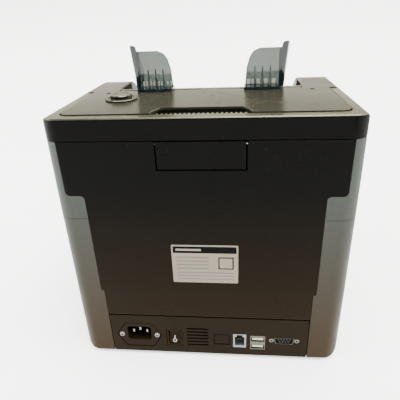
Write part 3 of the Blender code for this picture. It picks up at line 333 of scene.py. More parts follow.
def finish_piece(name, bm, material, body, replaces=(), bevel=0.0, segments=2):
    """Makes an object of bm with its sharp edges rounded, and puts it on its body."""
    mesh = bpy.data.meshes.new(name)
    bm.to_mesh(mesh)
    bm.free()
    obj = bpy.data.objects.new(name, mesh)
    bpy.context.scene.collection.objects.link(obj)
    mesh.materials.clear()
    mesh.materials.append(material)
    if bevel:
        step = obj.modifiers.new("rounded_edges", "BEVEL")
        step.width = bevel
        step.segments = segments
        step.limit_method = "ANGLE"
        step.angle_limit = ROUNDED_FROM
        step.use_clamp_overlap = True
        graph = bpy.context.evaluated_depsgraph_get()
        rounded = bpy.data.meshes.new_from_object(obj.evaluated_get(graph))
        obj.modifiers.clear()
        obj.data = rounded
    obj.data.shade_smooth()
    obj.data.set_sharp_from_angle(angle=SMOOTH_UP_TO)
    flat = obj.modifiers.new("flat_faces", "WEIGHTED_NORMAL")
    flat.keep_sharp = True
    flat.weight = 80
    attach(obj, body)
    if replaces:
        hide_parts(*replaces)
    return obj


def rounded_node(node, bevel=0.4, segments=2, material=None):
    """A CAD node with rounded edges, which stands for it."""
    slot = SLOT_OF[node]
    return finish_piece(
        node + "_shell",
        welded(NODES[node].data),
        material or MATERIALS[slot],
        BODY_OF[node],
        replaces=[node],
        bevel=bevel * MM,
        segments=segments,
    )


def dress_nodes():
    """Gives every CAD node that still shows the material of its slot."""
    for node, obj in NODES.items():
        obj.data.materials.clear()
        obj.data.materials.append(MATERIALS[SLOT_OF[node]])


# ---------------------------------------------------------------- shapes


def shape(*parts):
    """Several meshes as one."""
    whole = bmesh.new()
    for part in parts:
        mesh = bpy.data.meshes.new("part")
        part.to_mesh(mesh)
        part.free()
        whole.from_mesh(mesh)
        bpy.data.meshes.remove(mesh)
    return whole


def box(x, y, z):
    """A block from its x, y and z ranges in millimetres."""
    bm = bmesh.new()
    bmesh.ops.create_cube(bm, size=1)
    size = Vector((x[1] - x[0], y[1] - y[0], z[1] - z[0])) * MM
    middle = Vector((x[0] + x[1], y[0] + y[1], z[0] + z[1])) * MM / 2
    bm.transform(Matrix.Translation(middle) @ Matrix.Diagonal((*size, 1)))
    return bm


def extruded(outline, start, end):
    """An (x, z) outline in millimetres, pushed from y = start to y = end."""
    bm = bmesh.new()
    near = [bm.verts.new(Vector((px, start, pz)) * MM) for px, pz in outline]
    far = [bm.verts.new(Vector((px, end, pz)) * MM) for px, pz in outline]
    bm.faces.new(near)
    bm.faces.new(far)
    for i, vertex in enumerate(near):
        j = (i + 1) % len(near)
        bm.faces.new((vertex, near[j], far[j], far[i]))
    bmesh.ops.recalc_face_normals(bm, faces=bm.faces)
    return bm


def turned(profile, sides=48):
    """A turned shape about Z from (radius, height) steps in millimetres. A radius of 0 closes it."""
    bm = bmesh.new()
    rings = []
    for radius, height in profile:
        if radius == 0:
            rings.append([bm.verts.new(Vector((0, 0, height)) * MM)])
            continue
        turns = (2 * math.pi * i / sides for i in range(sides))
        places = [Vector((radius * math.cos(a), radius * math.sin(a), height)) * MM for a in turns]
        rings.append([bm.verts.new(place) for place in places])
    for low, high in zip(rings, rings[1:]):
        for i in range(sides):
            j = (i + 1) % sides
            ring = [low[i % len(low)], low[j % len(low)], high[j % len(high)], high[i % len(high)]]
            corners = list(dict.fromkeys(ring))
            if len(corners) > 2:
                bm.faces.new(corners)
    for ring in (rings[0], rings[-1]):
        if len(ring) > 1:
            bm.faces.new(ring)
    bmesh.ops.recalc_face_normals(bm, faces=bm.faces)
    return bm


def moved(bm, place, turn=None):
    """bm turned by a matrix and then moved to a place in millimetres."""
    bm.transform(Matrix.Translation(Vector(place) * MM) @ (turn or Matrix.Identity(4)))
    return bm


def facing_rear():
    """Turns a shape made about Z so that its top faces +Y."""
    return Matrix.Rotation(math.radians(-90), 4, "X")


def pan_head(radius, height):
    """A screw head with a domed edge and a cross recess."""
    dome = [(radius, height * 0.35), (radius * 0.86, height * 0.8), (radius * 0.6, height), (0, height)]
    head = turned([(radius, 0), *dome], 32)
    slots = []
    for width, length in ((radius * 0.16, radius * 0.62), (radius * 0.62, radius * 0.16)):
        slots.append(box((-width, width), (-length, length), (height * 0.3, height * 2)))
    return head, slots


def carved(bm, cutters):
    """bm with the cutters taken out of it."""
    obj = bpy.data.objects.new("carving", bpy.data.meshes.new("carving"))
    bm.to_mesh(obj.data)
    bm.free()
    bpy.context.scene.collection.objects.link(obj)
    tools = []
    for cutter in cutters:
        tool = bpy.data.objects.new("cutter", bpy.data.meshes.new("cutter"))
        cutter.to_mesh(tool.data)
        cutter.free()
        bpy.context.scene.collection.objects.link(tool)
        step = obj.modifiers.new("cut", "BOOLEAN")
        step.operation = "DIFFERENCE"
        step.object = tool
        tools.append(tool)
    result = bmesh.new()
    result.from_object(obj, bpy.context.evaluated_depsgraph_get())
    for used in [obj, *tools]:
        bpy.data.objects.remove(used)
    return result


def detail(name, bm, finish, body, slot, bevel=0.0, segments=2, replaces=()):
    return finish_piece(
        name, bm, MATERIALS[finish], body, replaces=replaces, bevel=bevel * MM, segments=segments
    )


def middle_of(node):
    low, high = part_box(node)
    return (low + high) / 2 / MM


def size_of(node):
    low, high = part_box(node)
    return (high - low) / MM


# ---------------------------------------------------------------- rear connectors

SERIAL_PIN_PITCH = 2.74
JACK_SCREW_REACH = 12.5  # from the serial socket's middle to each screw


def build_inlet():
    """The inlet's pins, and the two nickel screws in its flange."""
    centre = middle_of("power_inlet")
    face_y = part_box("power_inlet")[1].y / MM
    screws = []
    for side in (-1, 1):
        head, slots = pan_head(2.7, 1.3)
        place = (centre.x + side * 18.2, face_y - 0.4, centre.z)
        screws.append(moved(carved(head, slots), place, facing_rear()))
    detail("inlet_screws", shape(*screws), "nickel", "chassis", "pin_steel", bevel=0.08)
    blades = []
    for x, z in ((-7, 27.4), (0, 30.0), (7, 27.4)):
        blades.append(box((centre.x + x - 1.1, centre.x + x + 1.1), (109, 121.4), (z - 2.1, z + 2.1)))
    detail("inlet_pins", shape(*blades), "nickel", "chassis", "pin_steel", bevel=0.5, segments=3)


def build_switch_marks():
    """The on and off marks on the rocker's lower half."""
    pivot = next(j for j in frame["joints"] if j["name"] == "power_rocker_tilt")["pos_m"]
    tilt = Matrix.Rotation(math.radians(8), 4, "X")
    lean = Matrix.Rotation(math.atan2(4.2 - 2.4, 8.2), 4, "X")
    bar = box((-0.4, 0.4), (0, 0.12), (-2.9, -0.5))
    turns = [i * math.pi / 16 for i in range(32)]
    outer = [(1.9 * math.cos(a), -5.6 + 1.9 * math.sin(a)) for a in turns]
    ring = extruded(outer, 0, 0.12)
    hole = extruded([(x * 0.72, -5.6 + (z + 5.6) * 0.72) for x, z in outer], -1, 1)
    ring = carved(ring, [hole])
    marks = shape(bar, ring)
    face = Matrix.Translation(Vector((0, 2.42, 0)) * MM)
    marks.transform(Matrix.Translation(Vector(pivot)) @ tilt @ face @ lean)
    detail("switch_marks", marks, "white_ink", "power_rocker", "key_plastic")


def build_phone_contacts():
    """Six sprung wires that slope down into the phone socket, and the dark liner behind them."""
    centre = middle_of("phone_socket")
    wires = []
    for i in range(6):
        x = centre.x - 2.55 + 1.02 * i
        wire = box((-0.2, 0.2), (-4.5, 4.5), (-0.2, 0.2))
        wires.append(moved(wire, (x, 119.0, 20.6), Matrix.Rotation(math.radians(24), 4, "X")))
    detail("phone_contacts", shape(*wires), "gold_contact", "chassis", "socket_metal", bevel=0.08)
    hollow = box((-36.4, -27.4), (114.5, 140), (16.4, 28.0))
    liner = carved(box((-36.75, -27.05), (114.05, 125.2), (16.05, 27.5)), [hollow])
    detail("phone_liner", liner, "socket_dark", "chassis", "socket_plastic", bevel=0.08)


def build_usb_tongues():
    """Cream tongues with flat gold contacts inside both USB shells."""
    centre = middle_of("usb_socket")
    tongues = []
    contacts = []
    for low in (14.6, 24.1):
        tongues.append(box((centre.x - 5.6, centre.x + 5.6), (112.2, 124.9), (low - 0.3, low + 2.3)))
        for i in range(4):
            x = centre.x - 3.6 + 2.4 * i
            contacts.append(box((x - 0.5, x + 0.5), (114, 123.4), (low - 0.45, low - 0.25)))
    detail("usb_tongues", shape(*tongues), "cream_insulator", "chassis", "socket_plastic", bevel=0.25)
    detail("usb_contacts", shape(*contacts), "gold_contact", "chassis", "socket_metal", bevel=0.05)


def build_knockout():
    """The blanked-off opening: a thin web joins the blank to the panel on all four sides, and the web is
    near-black as painted shade in the groove.
    """
    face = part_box("rear_connector_panel")[1].y / MM
    ring = box((-22.15, -5.85), (face - 1.2, face - 0.35), (16.85, 30.75))
    ring = carved(ring, [box((-21.2, -6.8), (face - 3, face + 1), (17.8, 29.8))])
    # the web takes the near-black material, painted shade in the groove round the blank
    detail("knockout_groove_shade", ring, "ink", "chassis", "black_plastic", bevel=0.1)
    blank = box((-21.1, -6.9), (face - 1.2, face - 0.3), (17.9, 29.7))
    detail("knockout_blank", blank, "panel_plastic", "chassis", "black_plastic", bevel=0.25)


def build_serial():
    """The nine-pin socket: a shell round a dark insulator with contact holes, and two jack screws."""
    centre = middle_of("serial_socket")
    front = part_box("serial_socket")[1].y / MM
    half = [(8.6, -4.1), (9.4, -3.4), (10.9, 3.2), (10.3, 4.1)]
    whole = half + [(-x, z) for x, z in reversed(half)]

    def sized(grow):
        return [(centre.x + x * grow, centre.z + z * grow) for x, z in whole]

    shell = extruded(sized(0.93), 121.0, front)
    hollow = extruded(sized(0.87), 122.5, front + 1)
    across = (centre.x - 15.9, centre.x + 15.9)
    plate = box(across, (120.6, 122.5), (centre.z - 5.3, centre.z + 5.3))
    detail("serial_shell", carved(shell, [hollow]), "socket_metal", "chassis", "socket_metal", bevel=0.12)
    detail(
        "serial_flange", plate, "socket_metal", "chassis", "socket_metal",
        bevel=0.4, replaces=["serial_socket"],
    )
    pins = []
    for count, z in ((5, 1.4), (4, -1.4)):
        for i in range(count):
            x = (i - (count - 1) / 2) * SERIAL_PIN_PITCH
            pins.append((centre.x + x, centre.z + z))
    holes = []
    for x, z in pins:
        hole = turned([(0.62, -3), (0.62, 3)], 16)
        holes.append(moved(hole, (x, front - 0.9, z), facing_rear()))
    insulator = carved(extruded(sized(0.855), 122.0, front - 0.5), holes)
    detail("serial_insulator", insulator, "ink", "chassis", "black_plastic", bevel=0.1)
    contacts = []
    for x, z in pins:
        pin = turned([(0.5, 0), (0.5, 1.4), (0.3, 1.7), (0, 1.75)], 12)
        contacts.append(moved(pin, (x, front - 2.2, z), facing_rear()))
    detail("serial_contacts", shape(*contacts), "nickel", "chassis", "socket_metal")
    screws = []
    for side in (-1, 1):
        hexagon = turned([(2.75, 0), (2.75, 2.6), (2.45, 3.0), (1.5, 3.0)], 6)
        bore = turned([(1.45, 1.2), (1.45, 6)], 24)
        place = (centre.x + side * JACK_SCREW_REACH, 122.5, centre.z)
        screws.append(moved(carved(hexagon, [bore]), place, facing_rear()))
    detail("serial_jack_screws", shape(*screws), "nickel", "chassis", "pin_steel", bevel=0.12)


# ---------------------------------------------------------------- label and marks


def build_label():
    """A foil label with a plain header bar, an empty framed box and rows of plain bars."""
    low, high = (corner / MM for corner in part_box("rating_label"))
    back, front = low.y, high.y
    corners = []
    radius = 1.2
    starts = ((high.x, low.z, -90), (high.x, high.z, 0), (low.x, high.z, 90), (low.x, low.z, 180))
    for x, z, start in starts:
        cx = x - radius if x > 0 else x + radius
        cz = z - radius if z > middle_of("rating_label").z else z + radius
        for i in range(5):
            angle = math.radians(start + 22.5 * i)
            corners.append((cx + radius * math.cos(angle), cz + radius * math.sin(angle)))
    detail(
        "label_foil", extruded(corners, back, front), "label_foil", "rear_door", "label_foil",
        bevel=0.08, replaces=["rating_label"],
    )
    ink = (front - 0.02, front + 0.04)
    over = (front, front + 0.07)
    dark, grey, white = [], [], []
    dark.append(box((low.x + 1.5, high.x - 1.5), ink, (high.z - 8.6, high.z - 1.6)))
    white.append(box((high.x - 27.0, high.x - 4.0), over, (high.z - 6.2, high.z - 4.0)))
    for drop in (12.6, 16.6, 20.6, 24.6):
        grey.append(box((high.x - 34.0, high.x - 4.0), ink, (high.z - drop - 1.2, high.z - drop)))
    for drop in (29.4, 33.0, 36.6):
        grey.append(box((low.x + 4.0, high.x - 4.0), ink, (high.z - drop - 1.0, high.z - drop)))
    dark.append(box((low.x + 4.0, low.x + 18.0), ink, (high.z - 25.8, high.z - 12.6)))
    white.append(box((low.x + 5.2, low.x + 16.8), over, (high.z - 24.6, high.z - 13.8)))
    detail("label_dark_print", shape(*dark), "ink", "rear_door", "label_foil")
    detail("label_grey_print", shape(*grey), "grey_ink", "rear_door", "label_foil")
    detail("label_white_print", shape(*white), "label_foil", "rear_door", "label_foil")


def ring_block(radii, angles, z, steps=6):
    """A flat curved block between two radii and two angles, about Z."""
    bm = bmesh.new()
    layers = []
    for height in z:
        outline = []
        for radius, turn in ((radii[0], 1), (radii[1], -1)):
            sweep = range(steps + 1) if turn > 0 else range(steps, -1, -1)
            for i in sweep:
                angle = math.radians(angles[0] + (angles[1] - angles[0]) * i / steps)
                place = Vector((radius * math.cos(angle), radius * math.sin(angle), height)) * MM
                outline.append(bm.verts.new(place))
        layers.append(outline)
    bm.faces.new(layers[0])
    bm.faces.new(layers[1])
    for i in range(len(layers[0])):
        j = (i + 1) % len(layers[0])
        bm.faces.new((layers[0][i], layers[0][j], layers[1][j], layers[1][i]))
    bmesh.ops.recalc_face_normals(bm, faces=bm.faces)
    return bm


def build_knob():
    """The thickness knob: a wide milled flange with ticks, and a cap with unequal black blocks round it."""
    low, high = (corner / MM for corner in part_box("thickness_knob"))
    centre = middle_of("thickness_knob")
    radius = (high.x - low.x) / 2
    flange_low, flange_top = high.z - 4.4, high.z - 3.0
    notches = 60
    bm = bmesh.new()
    rings = []
    steps = ((flange_low, 0.5), (flange_low + 0.3, 0.0), (flange_top - 0.55, 0.0), (flange_top, 0.7))
    for height, shrink in steps:
        ring = []
        for i in range(notches * 2):
            angle = math.pi * i / notches
            reach = radius - shrink - (0.4 if i % 2 else 0.0)
            place = Vector((reach * math.cos(angle), reach * math.sin(angle), height)) * MM
            ring.append(bm.verts.new(place))
        rings.append(ring)
    for a, b in zip(rings, rings[1:]):
        for i in range(len(a)):
            j = (i + 1) % len(a)
            bm.faces.new((a[i], a[j], b[j], b[i]))
    bm.faces.new(rings[0])
    bm.faces.new(rings[-1])
    bmesh.ops.recalc_face_normals(bm, faces=bm.faces)
    dish = turned([(radius - 2.6, flange_top - 0.35), (radius - 2.1, flange_top + 1.0)], 64)
    flange = carved(bm, [dish])
    rim = [(9.9, high.z - 0.6), (9.3, high.z), (8.2, high.z), (7.9, high.z - 0.3), (0, high.z - 0.3)]
    cap = turned([(9.9, flange_top - 0.5), *rim], 64)
    stem = turned([(4.7, low.z), (4.7, flange_low + 0.2)], 32)
    hole = turned([(2.95, low.z - 2), (2.95, 250.0)], 24)
    knob = shape(flange, cap, carved(stem, [hole]))
    detail(
        "knob_dial", moved(knob, (centre.x, centre.y, 0)), "champagne_plastic", "thickness_knob",
        "champagne_plastic", bevel=0.12, replaces=["thickness_knob"],
    )
    heights = (high.z - 2.6, high.z - 0.75)
    spans = ((18, 26), (48, 7), (58, 56), (118, 9), (131, 12), (200, 30), (240, 60), (310, 24))
    blocks = [ring_block((9.6, 10.05), (start, start + width), heights) for start, width in spans]
    tick_heights = (flange_top - 0.45, flange_top - 0.25)
    ticks = [ring_block((10.9, 12.3), (a - 1.0, a + 1.0), tick_heights, 2) for a in range(0, 360, 20)]
    marks = shape(*blocks, *ticks)
    marks.transform(Matrix.Translation(Vector((centre.x, centre.y, 0)) * MM))
    detail("knob_marks", marks, "ink", "thickness_knob", "black_plastic")


def slab(outline, low, high):
    """An (x, y) outline in millimetres, pushed from one height to another."""
    bm = extruded(outline, low, high)
    swap = Matrix(((1, 0, 0, 0), (0, 0, 1, 0), (0, 1, 0, 0), (0, 0, 0, 1)))
    bm.transform(swap)
    bmesh.ops.recalc_face_normals(bm, faces=bm.faces)
    return bm


def build_seam():
    """A near-black strip of painted shade in the seam between the plate and its rim, and the handle notch's lips.
    """
    half, rear, radius = 116.8, 114.6, 8.0
    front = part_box("top_rim")[0].y / MM
    corner = (half - radius, rear - radius)

    def path(offset):
        reach = radius + offset
        turns = [math.radians(90 - 9 * i) for i in range(11)]
        curve = [(corner[0] + reach * math.cos(a), corner[1] + reach * math.sin(a)) for a in turns]
        return [(44.0, rear + offset), *curve, (half + offset, front)]

    strips = []
    # the strips fill the seam with painted shade
    for near, far, top in ((0.02, 0.5, 251.35), (0.4, 1.25, 250.75)):
        outline = path(near) + path(far)[::-1]
        strips.append(slab(outline, 250.32, top))
        strips.append(slab([(-x, y) for x, y in outline], 250.32, top))
    detail("seam_shade_strip", shape(*strips), "painted_seam_shade", "top_unit", "black_plastic")
    lips = []
    for side in (-1, 1):
        ends = [(side * 41.4, rear - 0.4, 251.2), (side * 36.0, 96.6, 251.2)]
        lips.append(tube([ends[0], *curl(ends, side), ends[1]], 1.05))
    detail("notch_lips", shape(*lips), "champagne_plastic", "top_unit", "champagne_plastic")


def curl(ends, side):
    """Points of the soft bend that the plate's lip makes at the handle notch."""
    (x0, y0, z), (x1, y1, _) = ends
    points = []
    for t in (0.2, 0.4, 0.6, 0.8):
        bend = math.sin(math.pi * t)
        points.append((x0 + (x1 - x0) * t + side * 1.1 * bend, y0 + (y1 - y0) * t, z + 0.25 * bend))
    return points


def tube(points, radius, sides=16):
    """A round bar through points in millimetres, with closed ends."""
    bm = bmesh.new()
    rings = []
    places = [Vector(point) for point in points]
    for i, place in enumerate(places):
        ahead = (places[min(i + 1, len(places) - 1)] - places[max(i - 1, 0)]).normalized()
        across = ahead.cross(Vector((0, 0, 1))).normalized()
        rise = across.cross(ahead)
        ring = []
        for k in range(sides):
            a = 2 * math.pi * k / sides
            ring.append(bm.verts.new((place + radius * (across * math.cos(a) + rise * math.sin(a))) * MM))
        rings.append(ring)
    for low, high in zip(rings, rings[1:]):
        for k in range(sides):
            j = (k + 1) % sides
            bm.faces.new((low[k], low[j], high[j], high[k]))
    bm.faces.new(rings[0])
    bm.faces.new(rings[-1])
    bmesh.ops.recalc_face_normals(bm, faces=bm.faces)
    return bm


def build_plate_screws():
    """Countersunk screws that hold the plate beside the hopper."""
    heads = []
    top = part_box("top_plate")[1].z / MM
    for x in (-100.0, 100.0):
        head, slots = pan_head(2.6, 0.5)
        heads.append(moved(carved(head, slots), (x, 29.0, top - 0.28)))
    detail("plate_screws", shape(*heads), "ink", "top_unit", "pin_steel", bevel=0.06)


def build_guides():
    """The note guides: a clear back sheet, a wall, foot and crests in a darker copy of the smoke plastic as
    painted shade, and pale strips as painted glints.
    """
    for side, sign in (("left", -1), ("right", 1)):
        node = f"{side}_note_guide"
        foot_top, wall_x = 255.2, 69.0
        everything = (-10.0, 320.0)

        def beyond(near, far):
            return tuple(sorted((sign * near, sign * far)))

        above = box((-130, 130), (-60, 60), (foot_top, 320))
        foot = carved(welded(NODES[node].data), [above])
        below = box((-130, 130), (-60, 60), (200, foot_top + 0.05))
        outside = box(beyond(wall_x, 130), (-60, 60), everything)
        sheet = carved(welded(NODES[node].data), [below, outside])
        below = box((-130, 130), (-60, 60), (200, foot_top + 0.05))
        inside = box(beyond(-10, wall_x + 0.05), (-60, 60), everything)
        wall = carved(welded(NODES[node].data), [below, inside])
        body = BODY_OF[node]
        detail(f"{side}_guide_sheet", sheet, "smoke_plastic", body, "smoke_plastic", bevel=0.3)
        # painted shade: the wall, foot and crests take the darker copy of the smoke plastic
        detail(f"{side}_guide_wall", wall, "smoke_painted_shade", body, "smoke_plastic", bevel=0.3)
        detail(f"{side}_guide_foot", foot, "smoke_painted_shade", body, "smoke_plastic", bevel=0.3, replaces=[node])
        # Pale strips at the foot of each guide are painted glints, placed differently on the two sides.
        starts, width = (38.0, 42.6, 47.4, 54.9, 62.4), 3.4
        if side == "right":
            starts, width = (37.5, 41, 47, 50, 54.5, 58, 62, 65.5), 1.1
        rise = (foot_top + 0.3, foot_top + 5.0)
        painted_glints = [box(beyond(x, x + width), (14.3, 15.1), rise) for x in starts]
        detail(f"{side}_guide_painted_glints", shape(*painted_glints), "frosted_and_painted_glint", body, "smoke_plastic", bevel=0.2)
        crest = [(17.3, 253.0), (17.7, 253.0), (14.5, 272.0), (14.1, 272.0)]
        crests = [side_prism(crest, sign * x - 0.45, sign * x + 0.45) for x in (45.7, 53.2, 60.7)]
        detail(f"{side}_guide_crests", shape(*crests), "smoke_painted_shade", body, "smoke_plastic", bevel=0.1)


# ---------------------------------------------------------------- front, inside and underside

FACE_FOOT = (0.0, -106.0, 120.0)
FACE_TILT = math.atan2(18.5, 92.0)
MARK_Y = (0.28, 0.44)  # the display's marks stand just proud of its glass


def side_prism(outline, start, end):
    """A (y, z) outline in millimetres, pushed from x = start to x = end."""
    bm = extruded(outline, start, end)
    swap = Matrix(((0, 1, 0, 0), (1, 0, 0, 0), (0, 0, 1, 0), (0, 0, 0, 1)))
    bm.transform(swap)
    bmesh.ops.recalc_face_normals(bm, faces=bm.faces)
    return bm


def on_face(bm):
    """Moves a shape made on an upright face at y = 0, z = 0 onto the sloping front face."""
    return moved(bm, FACE_FOOT, Matrix.Rotation(-FACE_TILT, 4, "X"))


def digit(x, z, width, height):
    """The seven bars of one display digit, centred on x and z."""
    bar = 1.1
    bars = []
    for level in (-1, 0, 1):
        middle = z + level * height / 2
        across = (x - width / 2 + bar, x + width / 2 - bar)
        bars.append(box(across, MARK_Y, (middle - bar / 2, middle + bar / 2)))
    for side in (-1, 1):
        for level in (-1, 1):
            middle = z + level * height / 4
            edge = x + side * width / 2
            reach = height / 4 - bar * 0.7
            bars.append(box((edge - bar / 2, edge + bar / 2), MARK_Y, (middle - reach, middle + reach)))
    return bars


def build_display():
    """A frame round the display, four seven-bar digits and a row of small marks."""
    ring = box((-67.6, 27.6), (-0.6, 0.4), (34.4, 81.6))
    ring = carved(ring, [box((-64.6, 24.6), (-3, 3), (37.4, 78.6))])
    detail("display_frame", on_face(ring), "grey_plastic", "chassis", "grey_plastic", bevel=0.4)
    bars = [bar for x in (-50.0, -34.0, -18.0, -2.0) for bar in digit(x, 60.0, 9.0, 19.0)]
    bars += [box((x - 1.6, x + 1.6), MARK_Y, (43.0, 44.2)) for x in range(-56, 15, 10)]
    detail("display_bars", on_face(shape(*bars)), "display_mark", "chassis", "display_glass")


def build_key_marks():
    """One plain sign on each key: run, list, up and down."""
    signs = {
        "start_key": [[(-2.4, -3.2), (3.4, 0.0), (-2.4, 3.2)]],
        "mode_key": [[(-3, z), (3, z), (3, z + 1), (-3, z + 1)] for z in (-2.9, -0.5, 1.9)],
        "up_key": [[(-3.2, -2.2), (3.2, -2.2), (0.0, 3.2)]],
        "down_key": [[(-3.2, 2.2), (0.0, -3.2), (3.2, 2.2)]],
    }
    places = {
        "start_key": (50.0, 68.0),
        "mode_key": (72.0, 68.0),
        "up_key": (50.0, 48.0),
        "down_key": (72.0, 48.0),
    }
    for key, outlines in signs.items():
        x, z = places[key]
        placed = [[(x + px, z + pz) for px, pz in outline] for outline in outlines]
        marks = [extruded(outline, -1.32, -1.1) for outline in placed]
        detail(key + "_sign", on_face(shape(*marks)), "white_ink", BODY_OF[key], "key_plastic")


def build_tray_ribs():
    """Low ribs that run down the hopper floor so that notes slide over it."""
    ribs = []
    for x in (-78, -60, -44, -10, 10, 44, 60, 78):
        outline = [(0.5, 203.1), (-82.0, 211.2), (-82.0, 212.0), (0.5, 203.9)]
        ribs.append(side_prism(outline, x - 0.7, x + 0.7))
    detail("tray_ribs", shape(*ribs), "black_plastic", BODY_OF["hopper_tray"], "black_plastic", bevel=0.25)


def build_door_ribs():
    """A grid of stiffening ribs on the inside of the rear door, between the note guide's webs."""
    ribs = [box((x - 0.8, x + 0.8), (121.2, 123.5), (64.0, 196.0)) for x in (-62, -31, 0, 31, 62)]
    ribs += [box((-82.0, 82.0), (121.6, 123.5), (z - 0.8, z + 0.8)) for z in (92.0, 128.0, 164.0, 196.0)]
    detail("door_ribs", shape(*ribs), "black_plastic", "rear_door", "black_plastic", bevel=0.25)


def build_underside():
    """Feet with a moulded recess, case screws and a row of ribs under the tray."""
    for end in ("front", "rear"):
        for side in ("left", "right"):
            node = f"foot_{end}_{side}"
            centre = middle_of(node)
            high = size_of(node).z
            profile = [(0, 0.9), (5.4, 0.9), (5.9, 0), (7.6, 0), (8.6, 0.6), (9.4, high), (0, high)]
            foot = moved(turned(profile, 48), (centre.x, centre.y, 0))
            detail(
                node + "_pad", foot, "foot_rubber", BODY_OF[node], SLOT_OF[node],
                bevel=0.2, replaces=[node],
            )
    turn = Matrix.Rotation(math.pi, 4, "X")
    screws = []
    for x, y in ((-72, -84), (72, -84), (-72, 84), (72, 84), (0, 0)):
        head, slots = pan_head(3.0, 1.2)
        screws.append(moved(carved(head, slots), (x, y, 4.2), turn))
    detail("tray_screws", shape(*screws), "nickel", BODY_OF["base_tray"], "pin_steel", bevel=0.08)
    ribs = [box((x - 1.0, x + 1.0), (-60.0, 60.0), (3.3, 4.2)) for x in range(-54, 55, 12)]
    body = BODY_OF["base_tray"]
    detail("tray_vent_ribs", shape(*ribs), "black_plastic", body, "black_plastic", bevel=0.3)


def build_inside():
    """Vents and screws on the supply's case, parts on the board and lens strips in the sensors."""
    low, high = (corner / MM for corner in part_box("power_supply"))
    block = box((low.x, high.x), (low.y, high.y), (low.z, high.z))
    vents = []
    for x in range(int(low.x) + 12, int(high.x) - 10, 5):
        for y in range(int(low.y) + 7, int(high.y) - 4, 5):
            vents.append(box((x - 1.4, x + 1.4), (y - 1.4, y + 1.4), (high.z - 0.8, high.z + 1)))
    case = carved(block, [shape(*vents)])
    detail(
        "power_supply_case", case, "supply_case", "chassis", SLOT_OF["power_supply"],
        bevel=0.6, replaces=["power_supply"],
    )
    screws = []
    for x in (low.x + 5, high.x - 5):
        for y in (low.y + 5, high.y - 5):
            head, slots = pan_head(2.4, 1.0)
            screws.append(moved(carved(head, slots), (x, y, high.z - 0.15)))
    detail("power_supply_screws", shape(*screws), "nickel", "chassis", "pin_steel", bevel=0.06)
    cans = []
    outward = Matrix.Rotation(math.radians(-90), 4, "Y")
    for y, z, radius in ((-48, 96, 4.0), (-48, 108, 4.0), (-30, 92, 3.0), (56, 92, 5.0), (20, 168, 3.0)):
        wall = [(radius, 0), (radius, 1), (radius * 0.93, 1.4), (radius, 1.8), (radius, 3.2)]
        can = turned([(0, 0), *wall, (radius * 0.9, 3.5), (0, 3.5)], 32)
        cans.append(moved(can, (108.2, y, z), outward))
    board = BODY_OF["main_board"]
    detail("board_capacitors", shape(*cans), "supply_case", board, "pin_steel", bevel=0.1)
    corners = ((-20, 168), (30, 84), (46, 168), (-4, 84))
    headers = [box((105.6, 108.2), (y, y + 16), (z, z + 5)) for y, z in corners]
    detail("board_headers", shape(*headers), "cream_insulator", board, "socket_plastic", bevel=0.3)
    for node in ("upper_image_sensor", "lower_image_sensor"):
        low, high = (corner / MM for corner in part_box(node))
        face = low.y if node.startswith("upper") else high.y
        height = middle_of(node).z
        strip = box((low.x + 4, high.x - 4), (face - 0.15, face + 0.15), (height - 1.2, height + 1.2))
        detail(node + "_lens", strip, "frosted_and_painted_glint", BODY_OF[node], "display_glass", bevel=0.1)


# ---------------------------------------------------------------- studio

FLOOR_REACH = 24.0  # how far the floor runs to each side and to the rear, in metres
BACKDROP_HEIGHT = 9.0


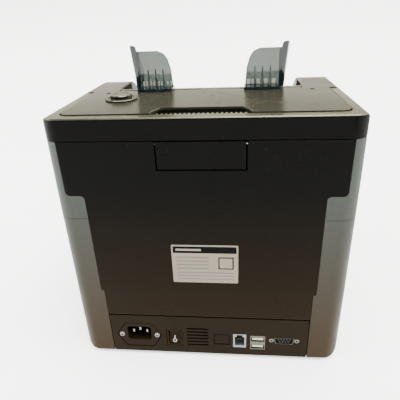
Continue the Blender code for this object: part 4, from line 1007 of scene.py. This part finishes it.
def build_studio():
    """A pale floor that turns up into a backdrop in front of the operator's side, and soft lights."""
    material, tree, shader = shader_tree("studio_floor")
    cloud = noise(tree, texture_space(tree), 3.0, 3.0, 0.5)
    tone = two_tone(tree, cloud, (0.88, 0.87, 0.855), (0.92, 0.91, 0.895))
    tree.links.new(tone, shader.inputs["Base Color"])
    shader.inputs["Emission Color"].default_value = (1.0, 0.985, 0.96, 1)
    shader.inputs["Emission Strength"].default_value = 1.0
    shader.inputs["Roughness"].default_value = 0.7
    bm = bmesh.new()
    turns = [math.radians(9 * i) for i in range(11)]
    bend = [(-3.0 - 1.0 * math.sin(a), 1.0 - math.cos(a)) for a in turns]
    profile = [(FLOOR_REACH, 0.0), *bend, (-4.0, BACKDROP_HEIGHT)]
    sides = (-FLOOR_REACH, FLOOR_REACH)
    rows = [[bm.verts.new((x, y, FLOOR_Z + z)) for y, z in profile] for x in sides]
    for i in range(len(profile) - 1):
        bm.faces.new((rows[0][i], rows[1][i], rows[1][i + 1], rows[0][i + 1]))
    mesh = bpy.data.meshes.new("studio_floor")
    bm.to_mesh(mesh)
    bm.free()
    mesh.materials.append(material)
    mesh.shade_smooth()
    floor = bpy.data.objects.new("studio_floor", mesh)
    bpy.context.scene.collection.objects.link(floor)

    world = bpy.data.worlds.new("studio")
    bpy.context.scene.world = world
    world.use_nodes = True
    world.node_tree.nodes["Background"].inputs["Color"].default_value = (0.92, 0.96, 1.0, 1)
    world.node_tree.nodes["Background"].inputs["Strength"].default_value = 0.8
    sun = bpy.data.lights.new("ceiling", "SUN")
    sun.energy = 12.0
    sun.angle = math.radians(50)
    sun.color = (1.0, 0.985, 0.96)
    lamp = bpy.data.objects.new("ceiling", sun)
    bpy.context.scene.collection.objects.link(lamp)
    lamp.rotation_euler = (math.radians(-12), math.radians(-10), 0)
    lights = [
        ("left_window", (1.6, 0.5, 0.7), 0.9, 40.0, (0.8, 0.93, 1.0)),
        ("right_window", (-1.6, 0.4, 0.6), 0.9, 26.0, (0.9, 0.95, 1.0)),
    ]
    for name, place, size, power, colour in lights:
        data = bpy.data.lights.new(name, "AREA")
        data.size = size
        data.energy = power
        data.color = colour
        lamp = bpy.data.objects.new(name, data)
        bpy.context.scene.collection.objects.link(lamp)
        lamp.location = place
        aim = Vector((0, 0, 0.12)) - Vector(place)
        lamp.rotation_euler = aim.to_track_quat("-Z", "Y").to_euler()


FINISH_OF = {
    "rear_connector_panel": "panel_plastic",
    "power_inlet": "panel_plastic",
    "handle_cup": "cup_plastic",
    "hopper_back_wall": "arm_plastic",
}
BEVELS = {
    "top_plate": 0.55,
    "top_rim": 0.6,
    "top_skirt": 0.5,
    "rear_door": 0.45,
    "door_latch_flap": 0.45,
    "power_inlet": 0.5,
    "switch_bezel": 0.35,
    "power_rocker": 0.5,
    "rear_connector_panel": 0.25,
}


def main():
    build_camera()
    dress_nodes()
    remade = ("thickness_knob", "rating_label", "serial_socket")
    shells = ("black_plastic", "grey_plastic", "champagne_plastic", "rim_plastic")
    shells += ("key_plastic", "display_glass")
    for node in NODES:
        if SLOT_OF[node] in shells and node not in remade:
            rounded_node(node, BEVELS.get(node, 0.4), material=MATERIALS.get(FINISH_OF.get(node)))
    special = ("left_note_guide", "right_note_guide", "power_supply", *remade)
    for node in NODES:
        if SLOT_OF[node] not in shells and node not in special and not node.startswith("foot_"):
            rounded_node(node, 0.25)
    build_inlet()
    build_switch_marks()
    build_phone_contacts()
    build_usb_tongues()
    build_knockout()
    build_serial()
    build_label()
    build_knob()
    build_seam()
    build_plate_screws()
    build_guides()
    build_display()
    build_key_marks()
    build_tray_ribs()
    build_door_ribs()
    build_underside()
    build_inside()
    build_studio()


main()
